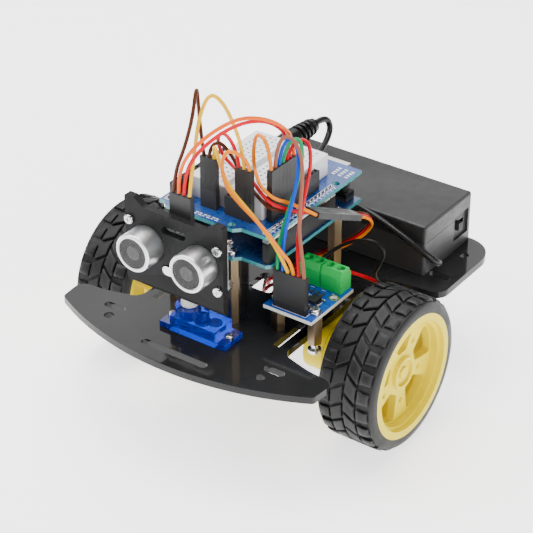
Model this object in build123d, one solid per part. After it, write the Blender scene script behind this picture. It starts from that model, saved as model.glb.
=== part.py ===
from build123d import *
from math import atan2, cos, degrees, pi, radians, sin, sqrt, tan
import os

# Two wheel robot car, in millimetres. +Z is up, the car drives towards -Y, +X is its left side.
# The shapes are laid out from the wheel axle (Y = 0) and the floor (Z = 0), and are written
# with the origin on the floor under the middle of the chassis plate.

# ---- driving dimensions -------------------------------------------------
WHEEL_R = 32.5             # outer radius of the 65 mm wheels
WHEEL_OUT = 74.7           # outer face of each wheel from the middle of the car
TYRE_W = 26.0
RIM_R = 26.8               # where the tyre sits on the rim
AXLE_R = 2.7               # round motor shaft
AXLE_FLAT = 3.7            # across the two flats of the shaft
PLATE_T = 3.0
PLATE_TOP = 47.7
PLATE_FRONT = -68.0        # foremost point of the curved front edge
PLATE_REAR = 84.0
COLUMN = 30.0              # brass columns under the controller board
SHORT_COLUMN = 12.0        # brass columns under the driver board and over the caster
BOARD_T = 1.6
PITCH = 2.54               # pin spacing of every header
PAN_X = -5.35              # vertical axis that the sensor head turns about
PAN_Y = -41.0
CASTER_Y = 61.0            # vertical axis of the rear caster
CASTER_TRAIL = 9.0
CASTER_R = 12.5
WIRE_D = 1.5

PLATE_BOTTOM = PLATE_TOP - PLATE_T
CENTRE_Y = (PLATE_FRONT + PLATE_REAR) / 2
AXLE_Z = WHEEL_R
WHEEL_IN = WHEEL_OUT - TYRE_W
GEARBOX_IN = 28.9          # the gearbox's two side faces
GEARBOX_OUT = 47.7
GEARBOX_X = (GEARBOX_IN + GEARBOX_OUT) / 2
GEARBOX_R = 11.25          # half its height, and its rounded front end
GEARBOX_REAR = 25.7
MOTOR_HOLE_Y = 20.5        # the two bolts through each gearbox
MOTOR_HOLE_DZ = 8.7
CONTROLLER_X = -30.1       # the controller board's corner beside the power jack
CONTROLLER_Y = 38.8
CONTROLLER_Z = PLATE_TOP + COLUMN
SHIELD_Z = 90.8            # underside of the shield board
SHIELD_TOP = SHIELD_Z + BOARD_T
SOCKET_H = 8.5
DRIVER_Z = PLATE_TOP + SHORT_COLUMN
DRIVER_TOP = DRIVER_Z + BOARD_T
PANEL_FRONT = -50.2        # front face of the sensor bracket
PANEL_BACK = PANEL_FRONT + 3.0
PANEL_BOTTOM = 66.0
CAN_Z = 86.7
EYE_DX = 13.0              # each sensor eye from the pan axis
SENSOR_HOLE_DX = 21.3
SENSOR_HOLES_Z = (77.1, 95.3)
BOX_X0, BOX_X1 = -34.0, 51.0
BOX_Y0, BOX_Y1 = 45.3, 83.4
BOX_FLOOR = PLATE_TOP + 0.2
BOX_PART = 63.0            # parting line between battery box and lid
BOX_TOP = 71.2
BOX_WALL = 1.0


# ---- small helpers ------------------------------------------------------
def block(x0, x1, y0, y1, z0, z1):
    """Box between opposite corners."""
    size = Box(x1 - x0, y1 - y0, z1 - z0)
    return Pos((x0 + x1) / 2, (y0 + y1) / 2, (z0 + z1) / 2) * size


def post(x, y, z0, z1, r):
    """Upright cylinder."""
    return Pos(x, y, (z0 + z1) / 2) * Cylinder(r, z1 - z0)


def pin_x(x0, x1, y, z, r):
    """Cylinder along X."""
    return Pos((x0 + x1) / 2, y, z) * Rot(0, 90, 0) * Cylinder(r, abs(x1 - x0))


def pin_y(x, y0, y1, z, r):
    """Cylinder along Y."""
    return Pos(x, (y0 + y1) / 2, z) * Rot(90, 0, 0) * Cylinder(r, abs(y1 - y0))


def hex_post(x, y, z0, z1, across):
    """Upright hexagonal prism, measured across its flats."""
    flat = RegularPolygon(across / sqrt(3), 6)
    return Pos(x, y, z0) * extrude(flat, z1 - z0)


def soft_block(x0, x1, y0, y1, z0, z1, r):
    """Box with its four upright edges and its top edges rounded."""
    body = block(x0, x1, y0, y1, z0, z1)
    body = fillet(body.edges().filter_by(Axis.Z), r)
    return fillet(body.faces().sort_by(Axis.Z)[-1].edges(), r * 0.6)


def solids(shapes):
    """Separate solids kept apart in one part."""
    found = []
    for shape in shapes:
        found.extend(shape.solids())
    return Compound(children=found)


def mirrored(shape):
    """The same part on the car's other side."""
    return mirror(shape, about=Plane.YZ)


# ---- chassis plate ------------------------------------------------------
def plate_outline():
    """Curved front edge, a cut-out for each wheel and rounded rear corners."""
    side = [
        (62.0, -52.5),
        (63.0, -40.2),
        (50.0, -38.9),
        (36.0, -34.9),
        (36.0, 33.3),
        (50.0, 36.6),
        (64.2, 37.6),
        (64.2, PLATE_REAR),
    ]
    other = [(-x, y) for x, y in reversed(side)]
    edges = Polyline(*side) + Line(side[-1], other[0]) + Polyline(*other)
    edges += ThreePointArc(other[-1], (0, PLATE_FRONT), side[0])
    face = make_face(edges)
    rounds = {0: 2.0, 1: 4.5, 2: 30.0, 3: 5.0, 4: 5.0, 5: 30.0, 6: 6.0, 7: 13.0}
    for corner, radius in rounds.items():
        x, y = side[corner]
        found = [v for v in face.vertices() if abs(abs(v.X) - x) < 0.05 and abs(v.Y - y) < 0.05]
        face = fillet(found, radius)
    return face


CONTROLLER_HOLES = [(13.97, 2.54), (15.24, 50.8), (66.04, 7.62), (66.04, 35.56)]
DRIVER_HOLES = [(23.2, -20.6), (41.1, -20.9), (23.2, -7.2), (41.1, -7.4)]
DRIVER_COLUMNS = DRIVER_HOLES[:3]
CASTER_HOLES = [(x, CASTER_Y + y) for x in (-12.0, 12.0) for y in (-14.0, 14.0)]
SERVO_SCREWS = [(-13.9, PAN_Y), (13.9, PAN_Y)]


def on_controller(u, v):
    """Point on the controller or shield board: u from its rear edge, v from its -X edge."""
    return (CONTROLLER_X + v, CONTROLLER_Y - u)


def controller_columns():
    return [on_controller(u, v) for u, v in CONTROLLER_HOLES]


def chassis_plate():
    """Black acrylic plate with its slots, screw holes, servo window and wire opening."""
    cuts = Pos(0, PAN_Y) * Rectangle(23.0, 12.6)
    cuts += Pos(0.5, 4.0) * RectangleRounded(12.0, 13.0, 2.5)
    cuts += Pos(0.5, -59.3) * SlotOverall(32.0, 3.4)
    for side in (-1, 1):
        cuts += Pos(side * 39.5, -46.7) * SlotOverall(10.0, 3.6)
        cuts += Pos(side * 37.5, -53.0) * Circle(2.1)
        cuts += Pos(side * 30.25, -22.8) * Rectangle(3.0, 18.7)
        cuts += Pos(side * 27.3, 6.0) * Rectangle(3.1, 18.8)
        cuts += Pos(side * 56.0, 50.0) * SlotOverall(10.0, 3.6)
        cuts += Pos(side * 56.0, 70.0) * Circle(2.1)
    for x, y in controller_columns() + DRIVER_COLUMNS + CASTER_HOLES:
        cuts += Pos(x, y) * Circle(1.6)
    for x, y in SERVO_SCREWS:
        cuts += Pos(x, y) * Circle(0.9)
    plate = extrude(plate_outline(), PLATE_T) - extrude(cuts, PLATE_T)
    for x, y in CASTER_HOLES:
        plate -= Pos(x, y, PLATE_T - 0.85) * Cone(1.6, 3.0, 1.72)
    for x, y in controller_columns():
        plate -= Pos(x, y, 0.85) * Cone(3.0, 1.6, 1.72)
    return Pos(0, 0, PLATE_BOTTOM) * plate


# ---- drive units --------------------------------------------------------
def gearbox_profile(r):
    """Side view of the gearbox: rounded front end and square rear end."""
    rear = GEARBOX_REAR - (GEARBOX_R - r)
    shape = Circle(r) + Pos(rear / 2, 0) * Rectangle(rear, 2 * r)
    return shape


def side_view(sketch, x0, x1):
    """A sketch drawn in (Y, Z) about the axle, extruded from x0 to x1."""
    plane = Plane(origin=(x0, 0, AXLE_Z), x_dir=(0, 1, 0), z_dir=(1, 0, 0))
    return extrude(plane * sketch, x1 - x0)


def gearbox():
    """Hollow two-wall gearbox case with bolt tubes, ribs and the shaft's two bearings."""
    wall = 1.8
    case = side_view(gearbox_profile(GEARBOX_R), GEARBOX_IN, GEARBOX_OUT)
    hollow = side_view(gearbox_profile(GEARBOX_R - wall), GEARBOX_IN + wall, GEARBOX_OUT - wall)
    case -= hollow
    case += pin_x(GEARBOX_OUT - 0.1, GEARBOX_OUT + 0.8, 0, AXLE_Z, 4.2)
    for dz in (-MOTOR_HOLE_DZ, MOTOR_HOLE_DZ):
        case += pin_x(GEARBOX_IN, GEARBOX_OUT, MOTOR_HOLE_Y, AXLE_Z + dz, 2.55)
    for dz in (-MOTOR_HOLE_DZ, MOTOR_HOLE_DZ):
        case -= pin_x(GEARBOX_IN - 1, GEARBOX_OUT + 1, MOTOR_HOLE_Y, AXLE_Z + dz, 1.6)
    case -= pin_x(GEARBOX_IN - 1, GEARBOX_OUT + 1, 0, AXLE_Z, AXLE_R + 0.08)
    seam = side_view(gearbox_profile(GEARBOX_R + 1), GEARBOX_X - 0.2, GEARBOX_X + 0.2)
    seam -= side_view(gearbox_profile(GEARBOX_R - 0.4), GEARBOX_X - 1, GEARBOX_X + 1)
    case -= seam
    return case.solid()


def motor_can():
    """Flat-sided steel motor can with its end cap, rear bearing and two solder tabs."""
    length = 26.0
    round_body = pin_y(GEARBOX_X, GEARBOX_REAR + 0.1, GEARBOX_REAR + length, AXLE_Z, 10.1)
    flats = block(
        GEARBOX_X - 7.7, GEARBOX_X + 7.7, GEARBOX_REAR, GEARBOX_REAR + length, 0, 2 * AXLE_Z
    )
    can = round_body & flats
    rear = GEARBOX_REAR + length
    can = fillet(can.faces().sort_by(Axis.Y)[-1].edges(), 0.8)
    can += pin_y(GEARBOX_X, rear - 0.5, rear + 1.8, AXLE_Z, 5.0)
    can += pin_y(GEARBOX_X, rear + 1.0, rear + 3.0, AXLE_Z, 1.0)
    for dz in (-7.0, 7.0):
        can += block(
            GEARBOX_X - 0.9, GEARBOX_X + 0.9, rear - 0.5, rear + 3.2, AXLE_Z + dz - 0.2, AXLE_Z + dz + 0.2
        )
    return can


def motor_strap():
    """Clear plastic band that holds the can to the gearbox."""
    y0 = GEARBOX_REAR + 8.0
    outer = pin_y(GEARBOX_X, y0, y0 + 4.0, AXLE_Z, 10.9)
    outer &= block(GEARBOX_X - 8.5, GEARBOX_X + 8.5, y0, y0 + 4.0, 0, 2 * AXLE_Z)
    inner = pin_y(GEARBOX_X, y0 - 1, y0 + 5.0, AXLE_Z, 10.15)
    inner &= block(GEARBOX_X - 7.75, GEARBOX_X + 7.75, y0 - 1, y0 + 5.0, 0, 2 * AXLE_Z)
    band = outer - inner
    for dx in (-8.1, 8.1):
        x = GEARBOX_X + dx
        band += block(x - 0.4, x + 0.4, GEARBOX_REAR - 3.0 + 3.1, y0 + 0.1, AXLE_Z - 3, AXLE_Z + 3)
    return band


def motor_bracket():
    """Acrylic cheek on the gearbox's inner side, with the tab that fills the plate's slot."""
    x0, x1 = GEARBOX_IN - 3.1, GEARBOX_IN - 0.1
    cheek = block(x0, x1, -6.0, 25.2, AXLE_Z - GEARBOX_R + 0.6, PLATE_BOTTOM)
    lower = [e for e in cheek.edges().filter_by(Axis.X) if e.center().Z < AXLE_Z]
    cheek = fillet(lower, 5.0)
    cheek += block(x0, x1, -3.3, 15.3, PLATE_BOTTOM, PLATE_TOP)
    cheek -= pin_x(x0 - 1, x1 + 1, 0, AXLE_Z, 4.5)
    for dz in (-MOTOR_HOLE_DZ, MOTOR_HOLE_DZ):
        cheek -= pin_x(x0 - 1, x1 + 1, MOTOR_HOLE_Y, AXLE_Z + dz, 1.6)
    return cheek


def motor_bolt(dz):
    """Long bolt through gearbox and bracket, with its nut on the inner side."""
    z = AXLE_Z + dz
    inner = GEARBOX_IN - 3.1
    bolt = pin_x(inner - 3.4, GEARBOX_OUT, MOTOR_HOLE_Y, z, 1.5)
    head = pin_x(GEARBOX_OUT, GEARBOX_OUT + 0.9, MOTOR_HOLE_Y, z, 2.6)
    nut = extrude(RegularPolygon(5.5 / sqrt(3), 6) - Circle(1.55), 2.4)
    nut = Pos(inner - 2.4, MOTOR_HOLE_Y, z) * Rot(0, 90, 0) * nut
    return [bolt + head, nut]


def axle():
    """Motor shaft, round in the gearbox and flattened on both sides outside it."""
    x0, x1 = GEARBOX_IN - 3.0, GEARBOX_OUT + 10.0
    shaft = pin_x(x0, x1, 0, AXLE_Z, AXLE_R)
    for x_from, x_to in ((x0 - 1, GEARBOX_IN - 0.5), (GEARBOX_OUT + 1.2, x1 + 1)):
        for side in (-1, 1):
            z = AXLE_Z + side * (AXLE_FLAT / 2 + 2.0)
            shaft -= block(x_from, x_to, -4, 4, z - 2.0, z + 2.0)
    return shaft + gear(GEARBOX_X + 3.0, 0, OUTPUT_TEETH, 4.0)


# ---- gears in each gearbox ---------------------------------------------
GEAR_MODULE = 0.55
OUTPUT_TEETH = 26
PINION_TEETH = 13
PINION_Y = GEAR_MODULE * (OUTPUT_TEETH + PINION_TEETH) / 2


def gear(x, y, teeth, width):
    """Spur gear about an X axis, with straight-sided teeth cut thin enough to run freely."""
    pitch_r = GEAR_MODULE * teeth / 2
    root_r = pitch_r - 1.35 * GEAR_MODULE
    tip_r = pitch_r + 0.85 * GEAR_MODULE
    shape = Circle(root_r)
    step = 2 * pi / teeth
    for i in range(teeth):
        corners = []
        for r, share in ((root_r - 0.2, -0.26), (tip_r, -0.11), (tip_r, 0.11), (root_r - 0.2, 0.26)):
            angle = step * (i + share)
            corners.append((r * cos(angle), r * sin(angle)))
        shape += Polygon(*corners, align=None)
    plane = Plane(origin=(x - width / 2, y, AXLE_Z), x_dir=(0, 1, 0), z_dir=(1, 0, 0))
    return extrude(plane * shape, width)


def idler():
    """Intermediate gear on its own pin, turned by the motor and driving the output gear."""
    small = gear(GEARBOX_X + 3.0, PINION_Y, PINION_TEETH, 4.6)
    x0, x1 = GEARBOX_IN + 2.1, GEARBOX_OUT - 2.1
    pin = pin_x(x0, x1, PINION_Y, AXLE_Z, 1.2)
    large = pin_x(GEARBOX_X - 4.0, GEARBOX_X - 1.0, PINION_Y, AXLE_Z, 7.2)
    return small + pin + large


# ---- wheels -------------------------------------------------------------
def rim():
    """Yellow rim: lip, stepped well, five tapering spokes and a keyed hub."""
    x_in, x_out = WHEEL_IN + 0.8, WHEEL_OUT
    barrel = pin_x(x_in, x_out, 0, AXLE_Z, RIM_R) - pin_x(x_in - 1, x_out + 1, 0, AXLE_Z, 23.6)
    barrel += pin_x(x_out - 9.0, x_out - 2.2, 0, AXLE_Z, 23.9) - pin_x(
        x_in - 1, x_out + 1, 0, AXLE_Z, 22.2
    )
    face_x0, face_x1 = x_out - 9.0, x_out - 5.6
    face = pin_x(face_x0, face_x1, 0, AXLE_Z, 23.0)
    window = make_face(
        Polyline((9.6, -3.0), (19.8, -8.4)) + ThreePointArc((19.8, -8.4), (21.5, 0), (19.8, 8.4))
        + Polyline((19.8, 8.4), (9.6, 3.0), (9.6, -3.0))
    )
    window = fillet(window.vertices(), 1.6)
    for i in range(5):
        turned = Rot(0, 0, 90 + 72 * i) * window
        face -= side_view(turned, face_x0 - 1, face_x1 + 1)
    for i in range(5):
        angle = radians(90 + 36 + 72 * i)
        y, z = 13.5 * cos(angle), AXLE_Z + 13.5 * sin(angle)
        face -= Pos(face_x1 + 0.2, y, z) * Sphere(1.3)
    hub = pin_x(GEARBOX_OUT + 2.0, face_x1 + 1.6, 0, AXLE_Z, 7.0)
    hub -= pin_x(face_x1 + 0.4, face_x1 + 2.0, 0, AXLE_Z, 5.6)
    shape = barrel + face + hub
    key = Circle(AXLE_R + 0.05) & Rectangle(8, AXLE_FLAT + 0.1)
    shape -= side_view(key, GEARBOX_OUT + 1.0, GEARBOX_OUT + 11.0)
    shape += pin_x(face_x1 - 1.0, face_x1 + 1.4, 0, AXLE_Z, 2.6)
    return shape


def tyre():
    """Rubber tyre with rounded shoulders, seated round the rim."""
    half = TYRE_W / 2
    r_in = RIM_R + 0.02
    section = make_face(
        Polyline((-half, r_in), (-half, r_in + 1.6))
        + ThreePointArc((-half, r_in + 1.6), (-half + 0.9, WHEEL_R - 1.2), (-half + 3.4, WHEEL_R))
        + Line((-half + 3.4, WHEEL_R), (half - 3.4, WHEEL_R))
        + ThreePointArc((half - 3.4, WHEEL_R), (half - 0.9, WHEEL_R - 1.2), (half, r_in + 1.6))
        + Polyline((half, r_in + 1.6), (half, r_in), (-half, r_in))
    )
    ring = revolve(Plane.XY * section, Axis.X, 360)
    return Pos(WHEEL_OUT - half, 0, AXLE_Z) * ring


# ---- rear caster --------------------------------------------------------
CASTER_PLATE_TOP = PLATE_BOTTOM - SHORT_COLUMN


def caster_plate():
    """Steel top plate with its fixed race and swivel rivet."""
    top = CASTER_PLATE_TOP
    plate = Pos(0, CASTER_Y, top - 1.5) * extrude(RectangleRounded(32.0, 36.0, 4.0), 1.5)
    for x, y in CASTER_HOLES:
        plate -= post(x, y, top - 3, top + 1, 1.6)
    plate += post(0, CASTER_Y, top - 3.2, top - 1.5, 9.5)
    plate += post(0, CASTER_Y, top - 6.8, top - 3.0, 2.5)
    plate += post(0, CASTER_Y, top - 7.6, top - 6.8, 3.8)
    return plate


def caster_fork():
    """Swivel disc with two cheeks that reach back to the wheel's axle."""
    top = CASTER_PLATE_TOP - 3.4
    disc = post(0, CASTER_Y, top - 3.0, top, 9.5) - post(0, CASTER_Y, top - 5, top + 1, 2.56)
    cheek_side = Pos(0, 0) * make_face(
        Polyline(
            (CASTER_Y - 7.0, top - 0.6),
            (CASTER_Y + 7.5, top - 0.6),
            (CASTER_Y + CASTER_TRAIL + 4.0, CASTER_R),
            (CASTER_Y + CASTER_TRAIL - 4.0, CASTER_R - 3.0),
            (CASTER_Y - 7.0, top - 4.5),
            (CASTER_Y - 7.0, top - 0.6),
        )
    )
    cheek_side = fillet(cheek_side.vertices(), 1.8)
    fork = disc
    for x0 in (-6.2, 4.7):
        plane = Plane(origin=(x0, 0, 0), x_dir=(0, 1, 0), z_dir=(1, 0, 0))
        fork += extrude(plane * cheek_side, 1.5)
    y = CASTER_Y + CASTER_TRAIL
    fork -= pin_x(-9, 9, y, CASTER_R, 1.5)
    return fork


def caster_axle():
    y = CASTER_Y + CASTER_TRAIL
    rod = pin_x(-7.0, 7.0, y, CASTER_R, 1.48)
    return rod + pin_x(-7.0, -6.25, y, CASTER_R, 2.4) + pin_x(6.25, 7.0, y, CASTER_R, 2.4)


def caster_wheel():
    y = CASTER_Y + CASTER_TRAIL
    wheel = pin_x(-4.2, 4.2, y, CASTER_R, CASTER_R)
    wheel = fillet(wheel.edges().filter_by(GeomType.CIRCLE), 1.6)
    for side in (-1, 1):
        wheel -= pin_x(side * 3.2, side * 5.0, y, CASTER_R, 8.0)
    wheel += pin_x(-4.2, 4.2, y, CASTER_R, 3.2)
    return wheel - pin_x(-5, 5, y, CASTER_R, 1.55)


# ---- columns, screws and nuts ------------------------------------------
def column(x, y, z0, z1):
    """Brass hexagonal column with a threaded hole at each end."""
    body = hex_post(x, y, z0, z1, 5.5)
    body -= post(x, y, z0 - 1, z0 + 6.0, 1.52)
    return body - post(x, y, z1 - 5.0, z1 + 1, 1.52)


def board_columns():
    found = [column(x, y, PLATE_TOP, CONTROLLER_Z) for x, y in controller_columns()]
    found += [column(x, y, PLATE_TOP, DRIVER_Z) for x, y in DRIVER_COLUMNS]
    return solids(found)


def caster_columns():
    return solids([column(x, y, CASTER_PLATE_TOP, PLATE_BOTTOM) for x, y in CASTER_HOLES])


def pan_screw(x, y, seat, length, up, head_r=2.8):
    """Pan head screw with a cross recess. up is 1 when its head is above its seat."""
    shank = post(0, 0, -length, 0.1, 1.5)
    head = post(0, 0, 0, 2.0, head_r)
    head = fillet(head.faces().sort_by(Axis.Z)[-1].edges(), 1.1)
    cross = block(-1.5, 1.5, -0.3, 0.3, 1.0, 3.0) + block(-0.3, 0.3, -1.5, 1.5, 1.0, 3.0)
    screw = shank + head - cross
    if up < 0:
        screw = Rot(180, 0, 0) * screw
    return Pos(x, y, seat) * screw


def flat_screw(x, y, seat, length, up):
    """Countersunk screw whose head is flush with the surface at its seat."""
    shank = post(0, 0, -length, -1.0, 1.5)
    head = Pos(0, 0, -0.85) * Cone(1.5, 2.9, 1.7)
    slot = block(-1.6, 1.6, -0.3, 0.3, -0.7, 1) + block(-0.3, 0.3, -1.6, 1.6, -0.7, 1)
    screw = shank + head - slot
    if up < 0:
        screw = Rot(180, 0, 0) * screw
    return Pos(x, y, seat) * screw


def machine_screws():
    """Every M3 screw that goes into a brass column."""
    found = []
    for x, y in controller_columns():
        found.append(flat_screw(x, y, PLATE_BOTTOM + 0.05, PLATE_T + 4.5, -1))
    for x, y in DRIVER_COLUMNS:
        found.append(pan_screw(x, y, PLATE_BOTTOM, PLATE_T + 4.5, -1))
    for x, y in controller_columns()[1:]:
        found.append(pan_screw(x, y, CONTROLLER_Z + BOARD_T, BOARD_T + 4.0, 1, 2.2))
    for x, y in DRIVER_COLUMNS:
        found.append(pan_screw(x, y, DRIVER_TOP, BOARD_T + 4.0, 1, 2.45))
    for x, y in CASTER_HOLES:
        found.append(pan_screw(x, y, CASTER_PLATE_TOP - 1.5, 6.0, -1))
        found.append(flat_screw(x, y, PLATE_TOP - 0.05, PLATE_T + 4.0, 1))
    return solids(found)


# ---- battery box --------------------------------------------------------
SWITCH_Y = 75.0
SWITCH_Z = 58.8
LEAD_Y, LEAD_Z = 51.6, 53.2


def battery_box():
    """Open-topped black box with a switch compartment at its +X end."""
    box = block(BOX_X0, BOX_X1, BOX_Y0, BOX_Y1, BOX_FLOOR, BOX_PART)
    box = fillet(box.edges().filter_by(Axis.Z), 1.5)
    hollow = block(
        BOX_X0 + 1.6, BOX_X1 - 1.6, BOX_Y0 + BOX_WALL, BOX_Y1 - BOX_WALL, BOX_FLOOR + 1.4, BOX_PART + 1
    )
    box -= fillet(hollow.edges().filter_by(Axis.Z), 0.8)
    box += block(36.6, 37.8, BOX_Y0 + 0.5, BOX_Y1 - 0.5, BOX_FLOOR + 1, BOX_PART - 4)
    box -= block(BOX_X1 - 3, BOX_X1 + 1, 69.3, 80.7, 53.0, BOX_PART + 1)
    box -= pin_x(BOX_X1 - 3, BOX_X1 + 1, LEAD_Y, LEAD_Z, 1.7)
    return box


def battery_lid():
    """Lid with rounded upper edges, closing over the cells."""
    lid = block(BOX_X0, BOX_X1, BOX_Y0, BOX_Y1, BOX_PART, BOX_TOP)
    lid = fillet(lid.edges().filter_by(Axis.Z), 1.5)
    lid = fillet(lid.faces().sort_by(Axis.Z)[-1].edges(), 1.2)
    hollow = block(
        BOX_X0 + 1.6, BOX_X1 - 1.6, BOX_Y0 + BOX_WALL, BOX_Y1 - BOX_WALL, BOX_PART - 1, BOX_TOP - 1.5
    )
    lid -= fillet(hollow.edges().filter_by(Axis.Z), 0.8)
    lid -= block(BOX_X1 - 3, BOX_X1 + 1, 69.3, 80.7, BOX_PART - 1, 64.6)
    groove = block(BOX_X0 - 1, BOX_X1 + 1, BOX_Y0 - 1, BOX_Y1 + 1, BOX_PART - 0.1, BOX_PART + 0.25)
    groove -= block(BOX_X0 + 0.3, BOX_X1 - 0.3, BOX_Y0 + 0.3, BOX_Y1 - 0.3, BOX_PART - 1, BOX_PART + 1)
    return lid - groove


CELL_YS = (BOX_Y0 + BOX_WALL + 9.0, BOX_Y1 - BOX_WALL - 9.0)
CELL_Z = BOX_FLOOR + 1.4 + 9.05


def battery_cells():
    """Two rechargeable cells side by side, each with its raised positive end."""
    cells = []
    for i, y in enumerate(CELL_YS):
        turn = 1 if i == 0 else -1
        cell = pin_x(-29.5, 35.0, y, CELL_Z, 8.95)
        end = 35.0 if turn > 0 else -29.5
        cell += pin_x(end - 0.2 * turn, end + 0.8 * turn, y, CELL_Z, 3.0)
        cells.append(cell)
    return solids(cells)


def battery_contacts():
    """Nickel contact plate at both ends of each cell, with a pressed bump."""
    plates = []
    for y in CELL_YS:
        for x, side in ((BOX_X0 + 1.65, 1), (36.55, -1)):
            plate = block(min(x, x + 0.4 * side), max(x, x + 0.4 * side), y - 5, y + 5, 52.5, 62.0)
            if side > 0:
                plate += pin_x(x + 0.3, x + 1.7, y, CELL_Z, 2.6)
            plates.append(plate)
    return solids(plates)


def switch_body():
    """Slide switch behind its opening in the box's end wall."""
    x0, x1 = 43.6, BOX_X1 - 1.0
    body = block(x0, x1, 69.45, 80.55, 53.15, 64.45)
    slot = block(x1 - 4.0, x1 + 1, SWITCH_Y - 3.2, SWITCH_Y + 3.2, SWITCH_Z - 1.9, SWITCH_Z + 1.9)
    body -= slot
    for dy in (-2.5, 0.0, 2.5):
        body += block(x0 - 3.0, x0 + 0.1, SWITCH_Y + dy - 0.4, SWITCH_Y + dy + 0.4, 58.5, 59.1)
    return body


def switch_knob():
    """Ribbed sliding knob, at its -Y end of travel."""
    y0 = SWITCH_Y - 3.0
    x1 = BOX_X1 - 1.0
    knob = block(x1 - 3.5, x1 + 1.7, y0, y0 + 2.8, SWITCH_Z - 1.7, SWITCH_Z + 1.7)
    for dy in (0.7, 1.4, 2.1):
        knob -= block(x1 + 1.4, x1 + 3, y0 + dy - 0.15, y0 + dy + 0.15, SWITCH_Z - 3, SWITCH_Z + 3)
    return knob


# ---- controller board ---------------------------------------------------
def board_outline():
    """Outline shared by controller and shield: stepped front edge and clipped corner."""
    corners = [
        (0, 0),
        (66.04, 0),
        (66.04, 2.54),
        (68.58, 5.08),
        (68.58, 37.846),
        (66.04, 40.386),
        (66.04, 51.816),
        (64.516, 53.34),
        (0, 53.34),
    ]
    points = [on_controller(u, v) for u, v in corners]
    return make_face(Polyline(*points, points[0]))


def board_with_holes(z, extra=None):
    outline = board_outline()
    for x, y in controller_columns():
        outline -= Pos(x, y) * Circle(1.6)
    if extra:
        outline -= extra
    return Pos(0, 0, z) * extrude(outline, BOARD_T)


def header_row(x0, y0, count, along, drill):
    """Drilled holes of one header row, from its first pin."""
    holes = []
    for i in range(count):
        dx, dy = (i * PITCH, 0) if along == "x" else (0, i * PITCH)
        holes.append(Pos(x0 + dx, y0 + dy) * Circle(drill))
    return Sketch() + holes


DIGITAL_X = on_controller(0, 50.8)[0]
POWER_X = on_controller(0, 2.54)[0]
LONG_ROWS = [
    (DIGITAL_X, on_controller(63.5, 0)[1], 8),
    (DIGITAL_X, on_controller(41.656, 0)[1], 10),
    (POWER_X, on_controller(63.5, 0)[1], 6),
    (POWER_X, on_controller(45.72, 0)[1], 8),
]


def controller_board():
    holes = Sketch()
    for x, y, count in LONG_ROWS:
        holes += header_row(x, y, count, "y", 0.5)
    return board_with_holes(CONTROLLER_Z, holes)


def socket(x0, y0, count, along, z, height=SOCKET_H):
    """Black female header with a square funnel over each contact."""
    half = PITCH / 2
    run = (count - 1) * PITCH
    if along == "x":
        body = block(x0 - half, x0 + run + half, y0 - half, y0 + half, z, z + height)
    else:
        body = block(x0 - half, x0 + half, y0 - half, y0 + run + half, z, z + height)
    mouths = Sketch()
    for i in range(count):
        dx, dy = (i * PITCH, 0) if along == "x" else (0, i * PITCH)
        mouths += Pos(x0 + dx, y0 + dy) * Rectangle(1.1, 1.1)
    return body - Pos(0, 0, z + height - 6.5) * extrude(mouths, 7.0)


def controller_sockets():
    top = CONTROLLER_Z + BOARD_T
    return solids([socket(x, y, n, "y", top) for x, y, n in LONG_ROWS])


def controller_chips():
    """Socketed main chip, small chips, capacitors, regulator and crystal."""
    top = CONTROLLER_Z + BOARD_T
    x, y = on_controller(46.5, 18.4)
    chip = block(x - 3.3, x + 3.3, y - 17.6, y + 17.6, top + 0.8, top + 4.2)
    legs = []
    for i in range(14):
        ly = y - 16.5 + i * PITCH
        for side in (-1, 1):
            lx = x + side * 3.7
            legs.append(block(lx - 0.2, lx + 0.2, ly - 0.3, ly + 0.3, top, top + 2.6))
    bar = block(x - 3.9, x + 3.9, y - 17.0, y + 17.0, top + 2.2, top + 2.6)
    found = [chip + bar + legs]
    for u, v in ((12.5, 17.0), (19.5, 17.0)):
        cx, cy = on_controller(u, v)
        found.append(post(cx, cy, top, top + 5.4, 3.1) + block(cx - 3.3, cx + 3.3, cy - 3.3, cy + 3.3, top, top + 1))
    cx, cy = on_controller(21.0, 30.5)
    found.append(block(cx - 2.5, cx + 2.5, cy - 2.5, cy + 2.5, top, top + 1.0))
    cx, cy = on_controller(25.5, 37.5)
    found.append(soft_block(cx - 5.2, cx + 5.2, cy - 2.0, cy + 2.0, top, top + 3.5, 1.9))
    cx, cy = on_controller(26.5, 8.0)
    found.append(block(cx - 3.2, cx + 3.2, cy - 1.7, cy + 1.7, top, top + 1.6))
    return solids(found)


def usb_socket():
    """Square metal USB socket with its open mouth at the rear."""
    x, y = on_controller(2.1, 38.1)
    z = CONTROLLER_Z + BOARD_T
    shell = block(x - 6.0, x + 6.0, y - 8.0, y + 8.0, z, z + 10.9)
    shell -= block(x - 5.3, x + 5.3, y - 1.0, y + 9.0, z + 0.7, z + 10.2)
    return shell + block(x - 2.8, x + 2.8, y - 2.0, y + 6.0, z + 3.8, z + 7.0)


JACK_X = on_controller(0, 7.62)[0]
JACK_Y1 = CONTROLLER_Y + 1.8
JACK_Z = CONTROLLER_Z + BOARD_T + 6.5


def power_jack():
    """Black barrel jack with its round mouth at the rear and centre pin."""
    z = CONTROLLER_Z + BOARD_T
    y0 = JACK_Y1 - 14.0
    jack = block(JACK_X - 4.5, JACK_X + 4.5, y0, JACK_Y1 - 3.4, z, z + 7.2)
    jack += pin_y(JACK_X, y0 + 1, JACK_Y1, JACK_Z, 4.2)
    jack += block(JACK_X - 4.5, JACK_X + 4.5, JACK_Y1 - 3.4, JACK_Y1, z, z + 10.8)
    jack -= pin_y(JACK_X, JACK_Y1 - 9.2, JACK_Y1 + 1, JACK_Z, 2.9)
    return jack + pin_y(JACK_X, JACK_Y1 - 9.6, JACK_Y1 - 1.0, JACK_Z, 1.0)


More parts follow.
